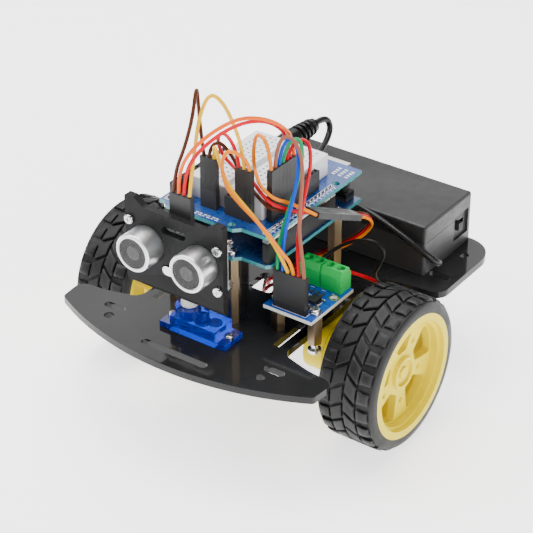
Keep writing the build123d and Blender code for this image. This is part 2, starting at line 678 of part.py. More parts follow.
RESET_X, RESET_Y = 17.3, 34.9
RESET_TRAVEL = 0.3


def reset_switch():
    z = CONTROLLER_Z + BOARD_T
    body = block(RESET_X - 3, RESET_X + 3, RESET_Y - 3, RESET_Y + 3, z, z + 3.5)
    body -= post(RESET_X, RESET_Y, z + 1.2, z + 4, 1.75)
    for dx in (-2.2, 2.2):
        for dy in (-2.2, 2.2):
            body += post(RESET_X + dx, RESET_Y + dy, z + 3.4, z + 3.6, 0.5)
    return body


def reset_cap():
    z = CONTROLLER_Z + BOARD_T
    cap = post(RESET_X, RESET_Y, z + 1.2 + RESET_TRAVEL + 0.1, z + 5.0, 1.68)
    return fillet(cap.faces().sort_by(Axis.Z)[-1].edges(), 0.3)


# ---- shield board -------------------------------------------------------
LEFT_SOCKET = (-24.3, -24.93, 14)
RIGHT_SOCKET = (16.35, -15.73, 13)
FRONT_SOCKETS = [(-12.1, 3), (-0.25, 5)]
FRONT_SOCKET_Y = -21.0
BREAD = (-22.2, 13.7, -18.0, 28.3)
BREAD_TOP = 101.9


def shield_board():
    holes = Sketch()
    for x, y, count in LONG_ROWS:
        holes += header_row(x, y, count, "y", 0.42)
    holes += header_row(-27.4, 30.0, 3, "y", 0.5)
    holes += header_row(-24.8, 30.0, 3, "y", 0.5)
    return board_with_holes(SHIELD_Z, holes)


def shield_pins():
    """Pin strips that join the shield to the controller's sockets."""
    strips = []
    for x, y, count in LONG_ROWS:
        run = (count - 1) * PITCH
        strip = block(x - 1.25, x + 1.25, y - 1.25, y + run + 1.25, SHIELD_Z - 2.4, SHIELD_Z)
        pins = []
        for i in range(count):
            py = y + i * PITCH
            pins.append(block(x - 0.25, x + 0.25, py - 0.25, py + 0.25, SHIELD_Z - 7.0, SHIELD_TOP + 1.2))
        strips.append(strip + pins)
    return solids(strips)


def shield_sockets():
    x, y, count = LEFT_SOCKET
    found = [socket(x, y, count, "y", SHIELD_TOP)]
    x, y, count = RIGHT_SOCKET
    found.append(socket(x, y, count, "y", SHIELD_TOP))
    for x, count in FRONT_SOCKETS:
        found.append(socket(x, FRONT_SOCKET_Y, count, "x", SHIELD_TOP))
    return solids(found)


def breadboard():
    """Small white breadboard: two fields of contact holes either side of a channel."""
    x0, x1, y0, y1 = BREAD
    body = soft_block(x0, x1, y0, y1, SHIELD_TOP + 0.1, BREAD_TOP, 0.8)
    mid = (x0 + x1) / 2
    body -= block(mid - 1.6, mid + 1.6, y0 + 1.6, y1 - 1.6, BREAD_TOP - 4.5, BREAD_TOP + 1)
    holes = Sketch()
    for row in range(17):
        y = (y0 + y1) / 2 + (row - 8) * PITCH
        for side in (-1, 1):
            for i in range(5):
                holes += Pos(mid + side * (3.81 + i * PITCH), y) * Rectangle(1.0, 1.0)
    body -= Pos(0, 0, BREAD_TOP - 6.0) * extrude(holes, 7.0)
    for y in (4.0, 24.0):
        body -= block(x0 - 1, x0 + 1.4, y - 2.0, y + 2.0, SHIELD_TOP - 1, BREAD_TOP - 2.6)
    return body


# ---- motor driver board -------------------------------------------------
DRIVER_X = (20.65, 43.66)
DRIVER_Y = (-27.3, 2.5)
DRIVER_PIN_X0 = 25.4
DRIVER_PIN_Y = -24.4


def driver_board():
    plan = Pos(sum(DRIVER_X) / 2, sum(DRIVER_Y) / 2) * Rectangle(
        DRIVER_X[1] - DRIVER_X[0], DRIVER_Y[1] - DRIVER_Y[0]
    )
    for x, y in DRIVER_HOLES:
        plan -= Pos(x, y) * Circle(1.6)
    plan -= header_row(DRIVER_PIN_X0, DRIVER_PIN_Y, 6, "x", 0.45)
    return Pos(0, 0, DRIVER_Z) * extrude(plan, BOARD_T)


def driver_chips():
    """Two eight-leg driver chips with a row of small parts."""
    found = []
    for x in (28.8, 36.0):
        y = -14.0
        chip = block(x - 1.95, x + 1.95, y - 2.45, y + 2.45, DRIVER_TOP + 0.15, DRIVER_TOP + 1.6)
        for i in range(4):
            ly = y - 1.9 + i * 1.27
            chip += block(x - 3.0, x + 3.0, ly - 0.2, ly + 0.2, DRIVER_TOP, DRIVER_TOP + 0.5)
        found.append(chip)
    for x in (29.0, 31.4, 33.8, 36.2):
        found.append(block(x - 0.6, x + 0.6, -9.6, -7.6, DRIVER_TOP, DRIVER_TOP + 0.5))
    for x in (27.2, 37.6):
        found.append(block(x - 0.8, x + 0.8, -20.4, -18.0, DRIVER_TOP, DRIVER_TOP + 0.9))
    return solids(found)


TERMINAL_X0 = 22.0
TERMINAL_Y = (-4.4, 3.1)
TERMINAL_TOP = 71.4


def terminal_centres():
    return [TERMINAL_X0 + 2.54 + 5.08 * i for i in range(4)]


def driver_terminals():
    """Two green two-way screw terminals with a chamfered screw side."""
    found = []
    y0, y1 = TERMINAL_Y
    z0, z1 = DRIVER_TOP, TERMINAL_TOP
    for i in range(2):
        x = TERMINAL_X0 + 10.16 * i
        side = Polyline((y0, z0), (y1, z0), (y1, z1 - 3.4), (y1 - 1.6, z1), (y0 + 0.9, z1), (y0, z1 - 3.0), (y0, z0))
        plane = Plane(origin=(x + 0.33, 0, 0), x_dir=(0, 1, 0), z_dir=(1, 0, 0))
        body = extrude(plane * make_face(side), 9.5)
        for j in range(2):
            cx = x + 2.54 + 5.08 * j
            body -= post(cx, -0.9, z1 - 4.2, z1 + 1, 1.75)
            body -= block(cx - 1.6, cx + 1.6, y1 - 4.5, y1 + 1, z0 + 1.4, z0 + 5.2)
        found.append(body)
    return solids(found)


def terminal_screws():
    found = []
    for x in terminal_centres():
        screw = post(x, -0.9, TERMINAL_TOP - 4.1, TERMINAL_TOP - 1.2, 1.65)
        screw -= block(x - 2, x + 2, -1.15, -0.65, TERMINAL_TOP - 1.9, TERMINAL_TOP)
        found.append(screw)
    return solids(found)


def driver_header():
    """Six upright pins in their black strip."""
    half = PITCH / 2
    run = 5 * PITCH
    x, y = DRIVER_PIN_X0, DRIVER_PIN_Y
    strip = block(x - half, x + run + half, y - half, y + half, DRIVER_TOP, DRIVER_TOP + 2.5)
    for i in range(6):
        px = x + i * PITCH
        strip += block(px - 0.3, px + 0.3, y - 0.3, y + 0.3, DRIVER_Z - 1.4, DRIVER_TOP + 8.5)
    return strip


# ---- servo and sensor head ----------------------------------------------
SERVO_BOSS_TOP = PLATE_TOP + 10.8
HORN_TOP = PANEL_BOTTOM


def servo_case():
    """Small servo through the plate's window, hung from its two ears."""
    top = PLATE_TOP + 6.8
    case = block(-11.25, 11.25, PAN_Y - 6.1, PAN_Y + 6.1, top - 22.7, top)
    case = fillet(case.edges().filter_by(Axis.Z), 0.7)
    case += block(-16.1, 16.1, PAN_Y - 6.1, PAN_Y + 6.1, PLATE_TOP + 0.02, PLATE_TOP + 2.5)
    case += post(PAN_X, PAN_Y, top - 0.1, SERVO_BOSS_TOP, 5.9)
    case += post(PAN_X + 6.4, PAN_Y, top - 0.1, SERVO_BOSS_TOP - 0.2, 2.7)
    for x, y in SERVO_SCREWS:
        case -= post(x, y, PLATE_TOP - 1, PLATE_TOP + 3, 1.05)
    case -= post(PAN_X, PAN_Y, SERVO_BOSS_TOP - 6.0, SERVO_BOSS_TOP + 1, 2.46)
    return case


def servo_screws():
    found = []
    for x, y in SERVO_SCREWS:
        shank = post(x, y, PLATE_BOTTOM - 1.5, PLATE_TOP + 2.6, 0.85)
        head = post(x, y, PLATE_TOP + 2.5, PLATE_TOP + 4.0, 2.0)
        head = fillet(head.faces().sort_by(Axis.Z)[-1].edges(), 0.8)
        head -= block(x - 1.2, x + 1.2, y - 0.2, y + 0.2, PLATE_TOP + 3.3, PLATE_TOP + 5)
        head -= block(x - 0.2, x + 0.2, y - 1.2, y + 1.2, PLATE_TOP + 3.3, PLATE_TOP + 5)
        found.append(shank + head)
    return solids(found)


def servo_horn():
    """Output shaft with the two-armed horn that carries the sensor bracket."""
    shaft = post(PAN_X, PAN_Y, SERVO_BOSS_TOP - 5.8, HORN_TOP - 1, 2.4)
    hub = post(PAN_X, PAN_Y, SERVO_BOSS_TOP + 0.4, HORN_TOP, 3.5)
    arms = Pos(PAN_X, PAN_Y, HORN_TOP - 1.6) * extrude(SlotOverall(22.0, 5.0), 1.6)
    return shaft + hub + arms


def panel_outline():
    """Upright panel seen from the front, with a raised ear at each upper corner."""
    top = 102.3
    half = 23.65
    right = [
        (half, PANEL_BOTTOM),
        (half, 105.8),
        (19.2, 105.8),
        (14.6, top),
    ]
    left = [(-x, z) for x, z in reversed(right)]
    face = make_face(Polyline(*right, *left, right[0]))
    ears = [v for v in face.vertices() if v.Y > top + 1]
    face = fillet(ears, 1.2)
    dips = [v for v in face.vertices() if abs(v.Y - top) < 0.05]
    return fillet(dips, 3.0)


def sensor_bracket():
    """Bent black plate: an upright panel with two eye holes and a foot on the servo horn."""
    plan = panel_outline()
    for side in (-1, 1):
        plan -= Pos(side * EYE_DX, CAN_Z) * Circle(8.3)
        for z in SENSOR_HOLES_Z:
            plan -= Pos(side * SENSOR_HOLE_DX, z) * Circle(1.25)
    plan -= Pos(0, 95.6) * SlotOverall(11.6, 3.4)
    plan -= Pos(0, 78.0) * SlotOverall(11.4, 4.6)
    plane = Plane(origin=(PAN_X, PANEL_BACK, 0), x_dir=(1, 0, 0), z_dir=(0, -1, 0))
    panel = extrude(plane * plan, PANEL_BACK - PANEL_FRONT)
    foot = block(PAN_X - 11.0, PAN_X + 11.0, PANEL_BACK - 1, PAN_Y + 7.6, PANEL_BOTTOM, PANEL_BOTTOM + 3.0)
    rear = [e for e in foot.edges().filter_by(Axis.Z) if e.center().Y > PAN_Y]
    foot = fillet(rear, 3.0)
    bracket = panel + foot
    bend = [
        e
        for e in bracket.edges().filter_by(Axis.X)
        if abs(e.center().Y - PANEL_FRONT) < 0.01 and abs(e.center().Z - PANEL_BOTTOM) < 0.01
    ]
    bracket = fillet(bend, 2.4)
    return bracket - post(PAN_X, PAN_Y, PANEL_BOTTOM - 1, PANEL_BOTTOM + 4, 1.3)


def sensor_board():
    """Blue sensor board behind the panel, with the chips on its back."""
    plan = Pos(0, 86.2) * Rectangle(45.4, 20.5)
    for side in (-1, 1):
        for z in SENSOR_HOLES_Z:
            plan -= Pos(side * SENSOR_HOLE_DX, z) * Circle(1.25)
    plane = Plane(origin=(PAN_X, PANEL_BACK + 1.6, 0), x_dir=(1, 0, 0), z_dir=(0, -1, 0))
    board = extrude(plane * plan, 1.58)
    back = PANEL_BACK + 1.6
    for dx in (-12.5, 0.0, 12.5):
        board += block(PAN_X + dx - 4.3, PAN_X + dx + 4.3, back - 0.1, back + 1.5, 82.0, 86.0)
    return board


def sensor_cans():
    """Two round metal eyes with a rolled front rim."""
    cans = []
    for side in (-1, 1):
        x = PAN_X + side * EYE_DX
        can = pin_y(x, PANEL_BACK, -59.6, CAN_Z, 8.1)
        front = [e for e in can.edges().filter_by(GeomType.CIRCLE) if e.center().Y < -59]
        can = fillet(front, 0.6)
        can -= pin_y(x, -58.4, -61, CAN_Z, 6.5)
        can += pin_y(x, -58.5, -59.2, CAN_Z, 3.0)
        cans.append(can)
    return solids(cans)


def sensor_grilles():
    """Mesh disc in the mouth of each eye."""
    discs = []
    for side in (-1, 1):
        x = PAN_X + side * EYE_DX
        discs.append(pin_y(x, -59.2, -59.4, CAN_Z, 6.45))
    return solids(discs)


def sensor_header():
    """Right-angled four pin header and the oval crystal can."""
    x0 = PAN_X - 1.5 * PITCH
    back = PANEL_BACK + 1.6
    strip = block(x0 - 1.27, x0 + 3 * PITCH + 1.27, back + 0.02, back + 2.5, 93.4, 95.9)
    for i in range(4):
        px = x0 + i * PITCH
        strip += block(px - 0.3, px + 0.3, back + 1.0, back + 1.6, 95.5, 104.0)
    crystal = Plane(origin=(PAN_X, PANEL_BACK - 0.02, 78.0), x_dir=(1, 0, 0), z_dir=(0, -1, 0))
    can = extrude(crystal * SlotOverall(10.6, 3.9), 3.6)
    return solids([strip, can])


def sensor_screws():
    """Screw and nut at each corner of the sensor board."""
    found = []
    for side in (-1, 1):
        x = PAN_X + side * SENSOR_HOLE_DX
        for z in SENSOR_HOLES_Z:
            head = pin_y(x, PANEL_FRONT, PANEL_FRONT - 1.4, z, 2.1)
            rim_edge = [e for e in head.edges().filter_by(GeomType.CIRCLE) if e.center().Y < PANEL_FRONT - 1]
            head = fillet(rim_edge, 0.7)
            head -= block(x - 1.2, x + 1.2, PANEL_FRONT - 3, PANEL_FRONT - 0.8, z - 0.2, z + 0.2)
            head -= block(x - 0.2, x + 0.2, PANEL_FRONT - 3, PANEL_FRONT - 0.8, z - 1.2, z + 1.2)
            found.append(head + pin_y(x, PANEL_FRONT - 0.1, PANEL_BACK + 5.4, z, 1.0))
            nut = extrude(RegularPolygon(4.0 / sqrt(3), 6) - Circle(1.03), 1.6)
            nut = Pos(x, PANEL_BACK + 3.25, z) * Rot(90, 0, 0) * nut
            found.append(nut)
    return solids(found)


# ---- plugs --------------------------------------------------------------
SOCKET_TOP = SHIELD_TOP + SOCKET_H
PLUG_L = 14.0
PLUG_TOP = SOCKET_TOP + PLUG_L
DRIVER_PLUG_TOP = DRIVER_TOP + 2.5 + PLUG_L
SENSOR_PIN_Y = PANEL_BACK + 2.9
SENSOR_PLUG_TOP = 96.2 + PLUG_L
FRONT_PLUG_XS = [-12.1, -9.56, -7.02, 4.83, 7.37, 9.91]
RIGHT_PLUG_YS = [-15.73 + PITCH * i for i in range(7)]
BAR_START = (27.6, -4.0, 94.2)
BAR_END = (31.6, 21.3, 82.4)


def jumper_plug(x, y):
    """Single black plug standing in a shield socket, with its window and its pin."""
    half = PITCH / 2 - 0.03
    body = block(x - half, x + half, y - half, y + half, SOCKET_TOP + 0.05, PLUG_TOP)
    body -= block(x - 3, x - half + 0.3, y - 0.6, y + 0.6, SOCKET_TOP + 5.5, SOCKET_TOP + 9.0)
    return body + block(x - 0.3, x + 0.3, y - 0.3, y + 0.3, SOCKET_TOP - 5.5, SOCKET_TOP + 0.1)


def plug_bar(x0, x1, y, z0, z1, count, sleeve_z):
    """Multi-way plug over a row of upright pins."""
    body = block(x0, x1, y - 1.25, y + 1.25, z0, z1)
    first = (x0 + x1) / 2 - (count - 1) * PITCH / 2
    for i in range(count):
        px = first + i * PITCH
        body -= block(px - 0.5, px + 0.5, y - 0.5, y + 0.5, z0 - 1, sleeve_z)
        body -= block(px - 0.6, px + 0.6, y + 0.95, y + 3.0, z0 + 5.5, z0 + 9.0)
    return body


def along_bar(part):
    """Places a part drawn along +X on the line of the servo's plug pair."""
    sx, sy, sz = BAR_START
    ex, ey, ez = BAR_END
    run = sqrt((ex - sx) ** 2 + (ey - sy) ** 2)
    turn = degrees(atan2(ey - sy, ex - sx))
    tilt = degrees(atan2(ez - sz, run))
    return Pos(sx, sy, sz) * Rot(0, 0, turn) * Rot(0, -tilt, 0) * Rot(90, 0, 0) * part


def servo_plug_pair():
    """Servo plug joined end to end with the three jumper plugs that feed it."""
    length = sqrt(sum((b - a) ** 2 for a, b in zip(BAR_START, BAR_END)))
    half = length / 2
    first = block(0, half - 0.1, -1.25, 1.25, -3.75, 3.75)
    for z in (-PITCH / 2, PITCH / 2):
        first -= block(-1, half + 1, -2, -1.05, z - 0.15, z + 0.15)
        first -= block(-1, half + 1, 1.05, 2, z - 0.15, z + 0.15)
    second = block(half + 0.1, length, -1.25, 1.25, -3.75, 3.75)
    for z in (-PITCH, 0, PITCH):
        second -= block(half + 4.0, half + 8.0, -2, -0.9, z - 0.6, z + 0.6)
    return [along_bar(first), along_bar(second)]


def jumper_plugs():
    found = [jumper_plug(x, FRONT_SOCKET_Y) for x in FRONT_PLUG_XS]
    found += [jumper_plug(RIGHT_SOCKET[0], y) for y in RIGHT_PLUG_YS]
    half = PITCH / 2
    x0 = DRIVER_PIN_X0 - half
    found.append(
        plug_bar(x0, x0 + 6 * PITCH, DRIVER_PIN_Y, DRIVER_TOP + 2.55, DRIVER_PLUG_TOP, 6, DRIVER_TOP + 9.5)
    )
    return solids(found + servo_plug_pair())


def sensor_plug():
    x0 = PAN_X - 2 * PITCH
    return plug_bar(x0, x0 + 4 * PITCH, SENSOR_PIN_Y, 96.2, SENSOR_PLUG_TOP, 4, 104.6)


POWER_PLUG_END = 71.0


def power_plug():
    """Straight barrel plug with a ribbed strain relief."""
    plug = pin_y(JACK_X, 41.0, 57.0, JACK_Z, 4.8)
    ends = plug.edges().filter_by(GeomType.CIRCLE)
    plug = fillet(ends, 0.9)
    plug += pin_y(JACK_X, 56.0, POWER_PLUG_END, JACK_Z, 3.1)
    for y, r in ((58.4, 4.6), (61.4, 4.4), (64.4, 4.1), (67.4, 3.8)):
        ring = pin_y(JACK_X, y, y + 1.6, JACK_Z, r)
        plug += fillet(ring.edges().filter_by(GeomType.CIRCLE), 0.5)
    plug += pin_y(JACK_X, 32.0, 41.5, JACK_Z, 2.75)
    return plug - pin_y(JACK_X, 31.0, 40.8, JACK_Z, 1.1)


# ---- wires --------------------------------------------------------------
LEAD_D = 2.8
CABLE_D = 1.2

SENSOR_ROUTES = {
    "brown": [
        (-9.16, -44.3, 110.6), (-8.6, -43.8, 119.0), (-5.0, -42.2, 129.5), (-3.6, -38.8, 141.0),
        (-4.8, -34.2, 153.0), (-7.6, -29.8, 143.0), (-10.9, -24.5, 127.5), (-12.1, -21.0, 114.9),
    ],
    "orange": [
        (-6.62, -44.3, 110.6), (-6.1, -45.1, 118.6), (-0.6, -46.2, 130.0), (6.8, -41.2, 139.2),
        (13.3, -32.2, 143.6), (17.2, -21.5, 140.0), (19.0, -11.0, 132.5), (17.8, -3.4, 123.5),
        (16.35, -0.49, 114.9),
    ],
    "red": [
        (-4.08, -44.3, 110.6), (-3.6, -44.4, 118.5), (0.2, -43.6, 128.0), (6.0, -37.6, 135.6),
        (11.0, -28.0, 139.0), (14.8, -18.2, 137.0), (16.8, -10.0, 131.0), (16.5, -5.2, 123.5),
        (16.35, -3.03, 114.9),
    ],
    "yellow": [
        (-1.54, -44.3, 110.6), (-1.3, -43.2, 119.0), (-1.6, -40.2, 129.5), (-2.0, -36.8, 141.0),
        (-0.9, -31.8, 149.8), (1.8, -27.0, 145.0), (4.8, -23.6, 134.0), (6.7, -21.6, 124.0),
        (7.37, -21.0, 114.9),
    ],
}

DRIVER_ROUTES = {
    "green": [
        (16.35, -8.11, 114.9), (17.4, -8.0, 120.5), (20.4, -6.8, 126.4), (24.2, -6.6, 126.0),
        (26.2, -9.0, 118.5), (26.0, -12.6, 109.5), (25.2, -16.8, 100.5), (24.8, -21.0, 91.5),
        (24.9, -23.8, 84.0), (25.4, -24.4, 77.8),
    ],
    "blue": [
        (16.35, -10.65, 114.9), (17.2, -10.8, 121.0), (19.8, -10.0, 127.4), (23.6, -9.8, 127.6),
        (26.6, -11.8, 120.5), (27.6, -15.0, 111.5), (27.4, -18.6, 102.5), (27.2, -22.0, 93.5),
        (27.6, -24.0, 85.0), (27.94, -24.4, 77.8),
    ],
    "yellow": [
        (-7.02, -21.0, 114.9), (-6.6, -21.8, 119.8), (-4.4, -24.0, 122.4), (-1.5, -25.4, 118.0),
        (1.5, -26.0, 111.5), (6.0, -26.6, 106.5), (12.0, -27.0, 102.5), (18.2, -27.3, 98.0),
        (24.0, -27.4, 92.5), (28.8, -26.4, 85.2), (30.48, -24.4, 77.8),
    ],
    "orange": [
        (9.91, -21.0, 114.9), (9.5, -22.0, 119.4), (6.6, -24.6, 123.2), (2.4, -26.0, 123.6),
        (1.0, -27.6, 117.5), (4.0, -28.8, 109.8), (10.0, -29.1, 105.0), (17.0, -29.2, 100.8),
        (24.0, -28.9, 95.6), (29.6, -27.9, 88.6), (32.6, -25.2, 83.2), (33.02, -24.4, 77.8),
    ],
    "red": [
        (16.35, -5.57, 114.9), (17.8, -5.2, 120.0), (21.4, -3.8, 125.0), (25.8, -3.6, 124.6),
        (28.6, -6.6, 117.0), (29.4, -11.4, 107.5), (30.4, -16.6, 97.5), (32.6, -21.6, 88.0),
        (35.56, -24.4, 77.8),
    ],
    "brown": [
        (16.35, -13.19, 114.9), (16.9, -13.4, 122.0), (19.6, -12.6, 129.6), (24.4, -12.0, 129.4),
        (28.2, -12.2, 122.5), (30.0, -14.4, 113.5), (31.0, -17.4, 104.0), (32.6, -20.2, 95.0),
        (36.0, -23.0, 86.6), (38.1, -24.4, 77.8),
    ],
}

SERVO_ROUTES = {
    "brown": [
        (-9.56, -21.0, 114.9), (-9.4, -20.6, 119.0), (-7.4, -17.4, 121.0), (-4.6, -14.2, 115.6),
        (0.0, -13.6, 108.0), (6.8, -16.4, 104.4), (12.9, -19.0, 103.0), (18.9, -20.4, 100.5),
        (22.8, -15.0, 98.4), (24.6, -9.4, 96.0), (25.33, -3.7, 94.2),
    ],
    "red": [
        (4.83, -21.0, 114.9), (3.6, -20.6, 120.0), (-1.0, -18.6, 124.5), (-7.0, -16.4, 125.0),
        (-11.8, -12.8, 118.0), (-12.4, -9.0, 110.0), (-6.4, -9.0, 105.6), (1.6, -11.8, 105.4),
        (8.2, -15.6, 106.4), (13.2, -19.0, 105.8), (19.3, -20.0, 102.6), (24.2, -15.2, 99.6),
        (26.8, -9.6, 96.6), (27.6, -4.1, 94.2),
    ],
    "orange": [
        (16.35, -15.73, 114.9), (15.8, -15.9, 121.0), (13.0, -15.2, 127.4), (7.8, -13.6, 127.4),
        (4.8, -11.4, 119.0), (4.8, -11.2, 110.8), (8.6, -14.4, 108.8), (13.4, -19.0, 108.4),
        (19.6, -19.4, 105.0), (23.6, -13.4, 101.6), (28.2, -9.2, 98.0), (29.87, -4.5, 94.2),
    ],
}

MOTOR_ROUTES = {
    "left_red": [
        (29.62, -1.2, 64.3), (29.8, 5.6, 64.0), (31.6, 13.0, 60.6), (34.8, 19.4, 56.4),
        (38.6, 25.4, 52.0), (41.4, 30.0, 47.4), (44.4, 34.0, 43.5), (47.5, 39.5, 40.3),
        (47.7, 46.4, 39.8), (47.0, 52.6, 39.8), (43.6, 55.2, 39.7), (39.4, 54.6, 39.6),
    ],
    "left_black": [
        (24.54, -1.2, 64.3), (24.8, 5.6, 65.4), (28.4, 12.6, 70.2), (34.8, 18.0, 73.6),
        (41.8, 20.4, 74.2), (46.4, 21.3, 70.4), (45.0, 20.2, 64.2), (41.6, 21.4, 58.4),
        (41.0, 24.8, 53.0), (43.6, 28.4, 48.0), (46.6, 31.8, 42.8), (48.0, 37.0, 37.4),
        (48.1, 43.6, 33.0), (47.9, 50.2, 29.0), (45.2, 54.4, 26.2), (39.4, 54.8, 25.5),
    ],
    "right_red": [
        (34.7, -1.2, 64.3), (34.6, 5.4, 64.0), (31.4, 10.6, 62.8), (24.0, 10.8, 60.6),
        (15.0, 6.4, 58.0), (7.0, 2.6, 54.6), (1.8, 2.8, 50.2), (-0.6, 6.2, 45.2),
        (-4.4, 12.6, 42.3), (-10.0, 22.0, 41.6), (-16.0, 32.0, 41.6), (-22.0, 42.0, 41.2),
        (-27.2, 50.6, 40.6), (-31.6, 54.6, 39.8), (-37.2, 54.8, 39.6),
    ],
    "right_black": [
        (39.78, -1.2, 64.3), (39.6, 5.6, 63.2), (36.0, 11.0, 60.8), (27.6, 12.2, 57.6),
        (19.0, 8.6, 54.6), (11.2, 3.4, 53.0), (4.6, -0.2, 50.4), (1.4, 0.4, 45.6),
        (-3.2, 6.4, 40.8), (-8.6, 15.2, 39.4), (-13.8, 25.4, 38.6), (-19.0, 36.0, 36.4),
        (-24.4, 46.4, 32.2), (-29.4, 54.0, 27.4), (-37.2, 55.0, 25.5),
    ],
}

LEAD_ROUTE = [
    (JACK_X, POWER_PLUG_END + 0.05, JACK_Z), (-22.3, 75.6, 86.4), (-21.4, 80.6, 85.0), (-20.4, 81.6, 80.4),
    (-19.4, 77.4, 76.8), (-17.4, 70.0, 75.4), (-14.6, 61.6, 74.6), (-10.0, 53.4, 74.2), (-2.4, 46.9, 74.0),
    (8.0, 43.4, 74.0), (18.5, 42.4, 72.9), (28.6, 42.8, 70.2), (38.6, 42.6, 66.8),
    (47.4, 42.7, 63.2), (54.0, 43.8, 59.2), (57.0, 47.0, 55.6), (55.4, 50.4, 53.6),
    (51.0, LEAD_Y, LEAD_Z),
]


def servo_cable_route(k):
    """One of the servo's three cores: -1, 0 or 1 counts across the flat cable."""
    end_x, end_y, end_z = BAR_END
    upper = [(32.4, 28.0, 79.6), (32.2, 34.0, 74.2), (28.6, 36.4, 67.6), (23.2, 33.6, 61.8)]
    upper += [(15.8, 27.6, 57.6), (9.2, 18.6, 54.4), (5.2, 9.6, 50.6)]
    lower = [(4.0, 4.6, 44.6), (4.6, -3.4, 40.2), (8.2, -12.6, 37.2), (12.8, -22.4, 36.0)]
    lower += [(16.6, -31.6, 36.0), (16.6, -39.0, 36.0), (11.7, -41.0, 36.0)]
    route = [(end_x + 2.35 * k, end_y + 0.3 - 0.4 * k, end_z)]
    route += [(x + k, y - k, z - 0.3 * k) for x, y, z in upper]
    return route + [(x, y, z + 1.3 * k) for x, y, z in lower]


CABLE_CORES = {"orange": 1, "red": 0, "brown": -1}


def tube(route, diameter):
    """Wire along straight runs joined by arcs, each as large as its runs allow."""
    corners = [Vector(*p) for p in route]
    radii = []
    for a, b, c in zip(corners, corners[1:], corners[2:]):
        turn = radians((b - a).get_angle(c - b))
        shorter = min((b - a).length, (c - b).length)
        radii.append(0.45 * shorter / tan(turn / 2))
    path = FilletPolyline(*route, radius=radii)
    section = Plane(origin=path @ 0, z_dir=path % 0) * Circle(diameter / 2)
    wire = sweep(section, path)
    expected = pi * diameter**2 / 4 * path.length
    print(f"  length {path.length:6.1f}  least radius {min(radii):5.1f}  volume ratio {wire.volume / expected:.3f}")
    return wire


def wires(routes, diameter):
    found = []
    for name, route in routes.items():
        print(name)
        found.append(tube(route, diameter))
    return solids(found)


def board_wires():
    """Jumper wires to the motor driver and the servo, and the servo's own cable."""
    cable = {name: servo_cable_route(k) for name, k in CABLE_CORES.items()}
    return solids([wires(DRIVER_ROUTES, WIRE_D), wires(SERVO_ROUTES, WIRE_D), wires(cable, CABLE_D)])


# ---- write every node ---------------------------------------------------
NODES = {
    "chassis_plate": chassis_plate,
    "left_gearbox": gearbox,
    "right_gearbox": lambda: mirrored(gearbox()),
    "left_motor": motor_can,
    "right_motor": lambda: mirrored(motor_can()),
    "motor_straps": lambda: solids([motor_strap(), mirrored(motor_strap())]),
    "motor_brackets": lambda: solids([motor_bracket(), mirrored(motor_bracket())]),
    "motor_bolts": lambda: solids(
        [s for dz in (-MOTOR_HOLE_DZ, MOTOR_HOLE_DZ) for s in motor_bolt(dz)]
        + [mirrored(s) for dz in (-MOTOR_HOLE_DZ, MOTOR_HOLE_DZ) for s in motor_bolt(dz)]
    ),
    "left_axle": axle,
    "right_axle": lambda: mirrored(axle()),
    "left_idler_gear": idler,
    "right_idler_gear": lambda: mirrored(idler()),
    "left_rim": rim,
    "right_rim": lambda: mirrored(rim()),
    "left_tyre": tyre,
    "right_tyre": lambda: mirrored(tyre()),
    "caster_plate": caster_plate,
    "caster_fork": caster_fork,
    "caster_axle": caster_axle,
    "caster_wheel": caster_wheel,
    "caster_columns": caster_columns,
    "board_columns": board_columns,
    "machine_screws": machine_screws,
    "battery_box": battery_box,
    "battery_lid": battery_lid,
    "battery_cells": battery_cells,
    "battery_contacts": battery_contacts,
    "switch_body": switch_body,
    "switch_knob": switch_knob,
    "controller_board": controller_board,
    "controller_sockets": controller_sockets,
    "controller_chips": controller_chips,
    "usb_socket": usb_socket,
    "power_jack": power_jack,
    "reset_switch": reset_switch,
    "reset_cap": reset_cap,
    "shield_board": shield_board,
    "shield_pins": shield_pins,
    "shield_sockets": shield_sockets,
    "breadboard": breadboard,
    "driver_board": driver_board,
    "driver_parts": lambda: solids([driver_chips(), driver_header()]),
    "driver_terminals": driver_terminals,
    "terminal_screws": terminal_screws,
    "servo_case": servo_case,
    "servo_screws": servo_screws,
    "servo_horn": servo_horn,
    "sensor_bracket": sensor_bracket,
    "sensor_board": sensor_board,
    "sensor_cans": sensor_cans,
    "sensor_grilles": sensor_grilles,
    "sensor_header": sensor_header,
    "sensor_screws": sensor_screws,
    "sensor_plug": sensor_plug,
    "jumper_plugs": jumper_plugs,
    "power_plug": power_plug,
    "sensor_wires": lambda: wires(SENSOR_ROUTES, WIRE_D),
    "board_wires": board_wires,
    "motor_wires": lambda: wires(MOTOR_ROUTES, WIRE_D),
    "battery_lead": lambda: wires({"lead": LEAD_ROUTE}, LEAD_D),
}

os.makedirs("parts", exist_ok=True)
for node, make in NODES.items():
    placed = [Pos(0, -CENTRE_Y, 0) * solid for solid in make().solids()]
    shape = placed[0] if len(placed) == 1 else Compound(children=placed)
    export_step(shape, f"parts/{node}.step")
print(len(NODES), "nodes")
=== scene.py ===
import math

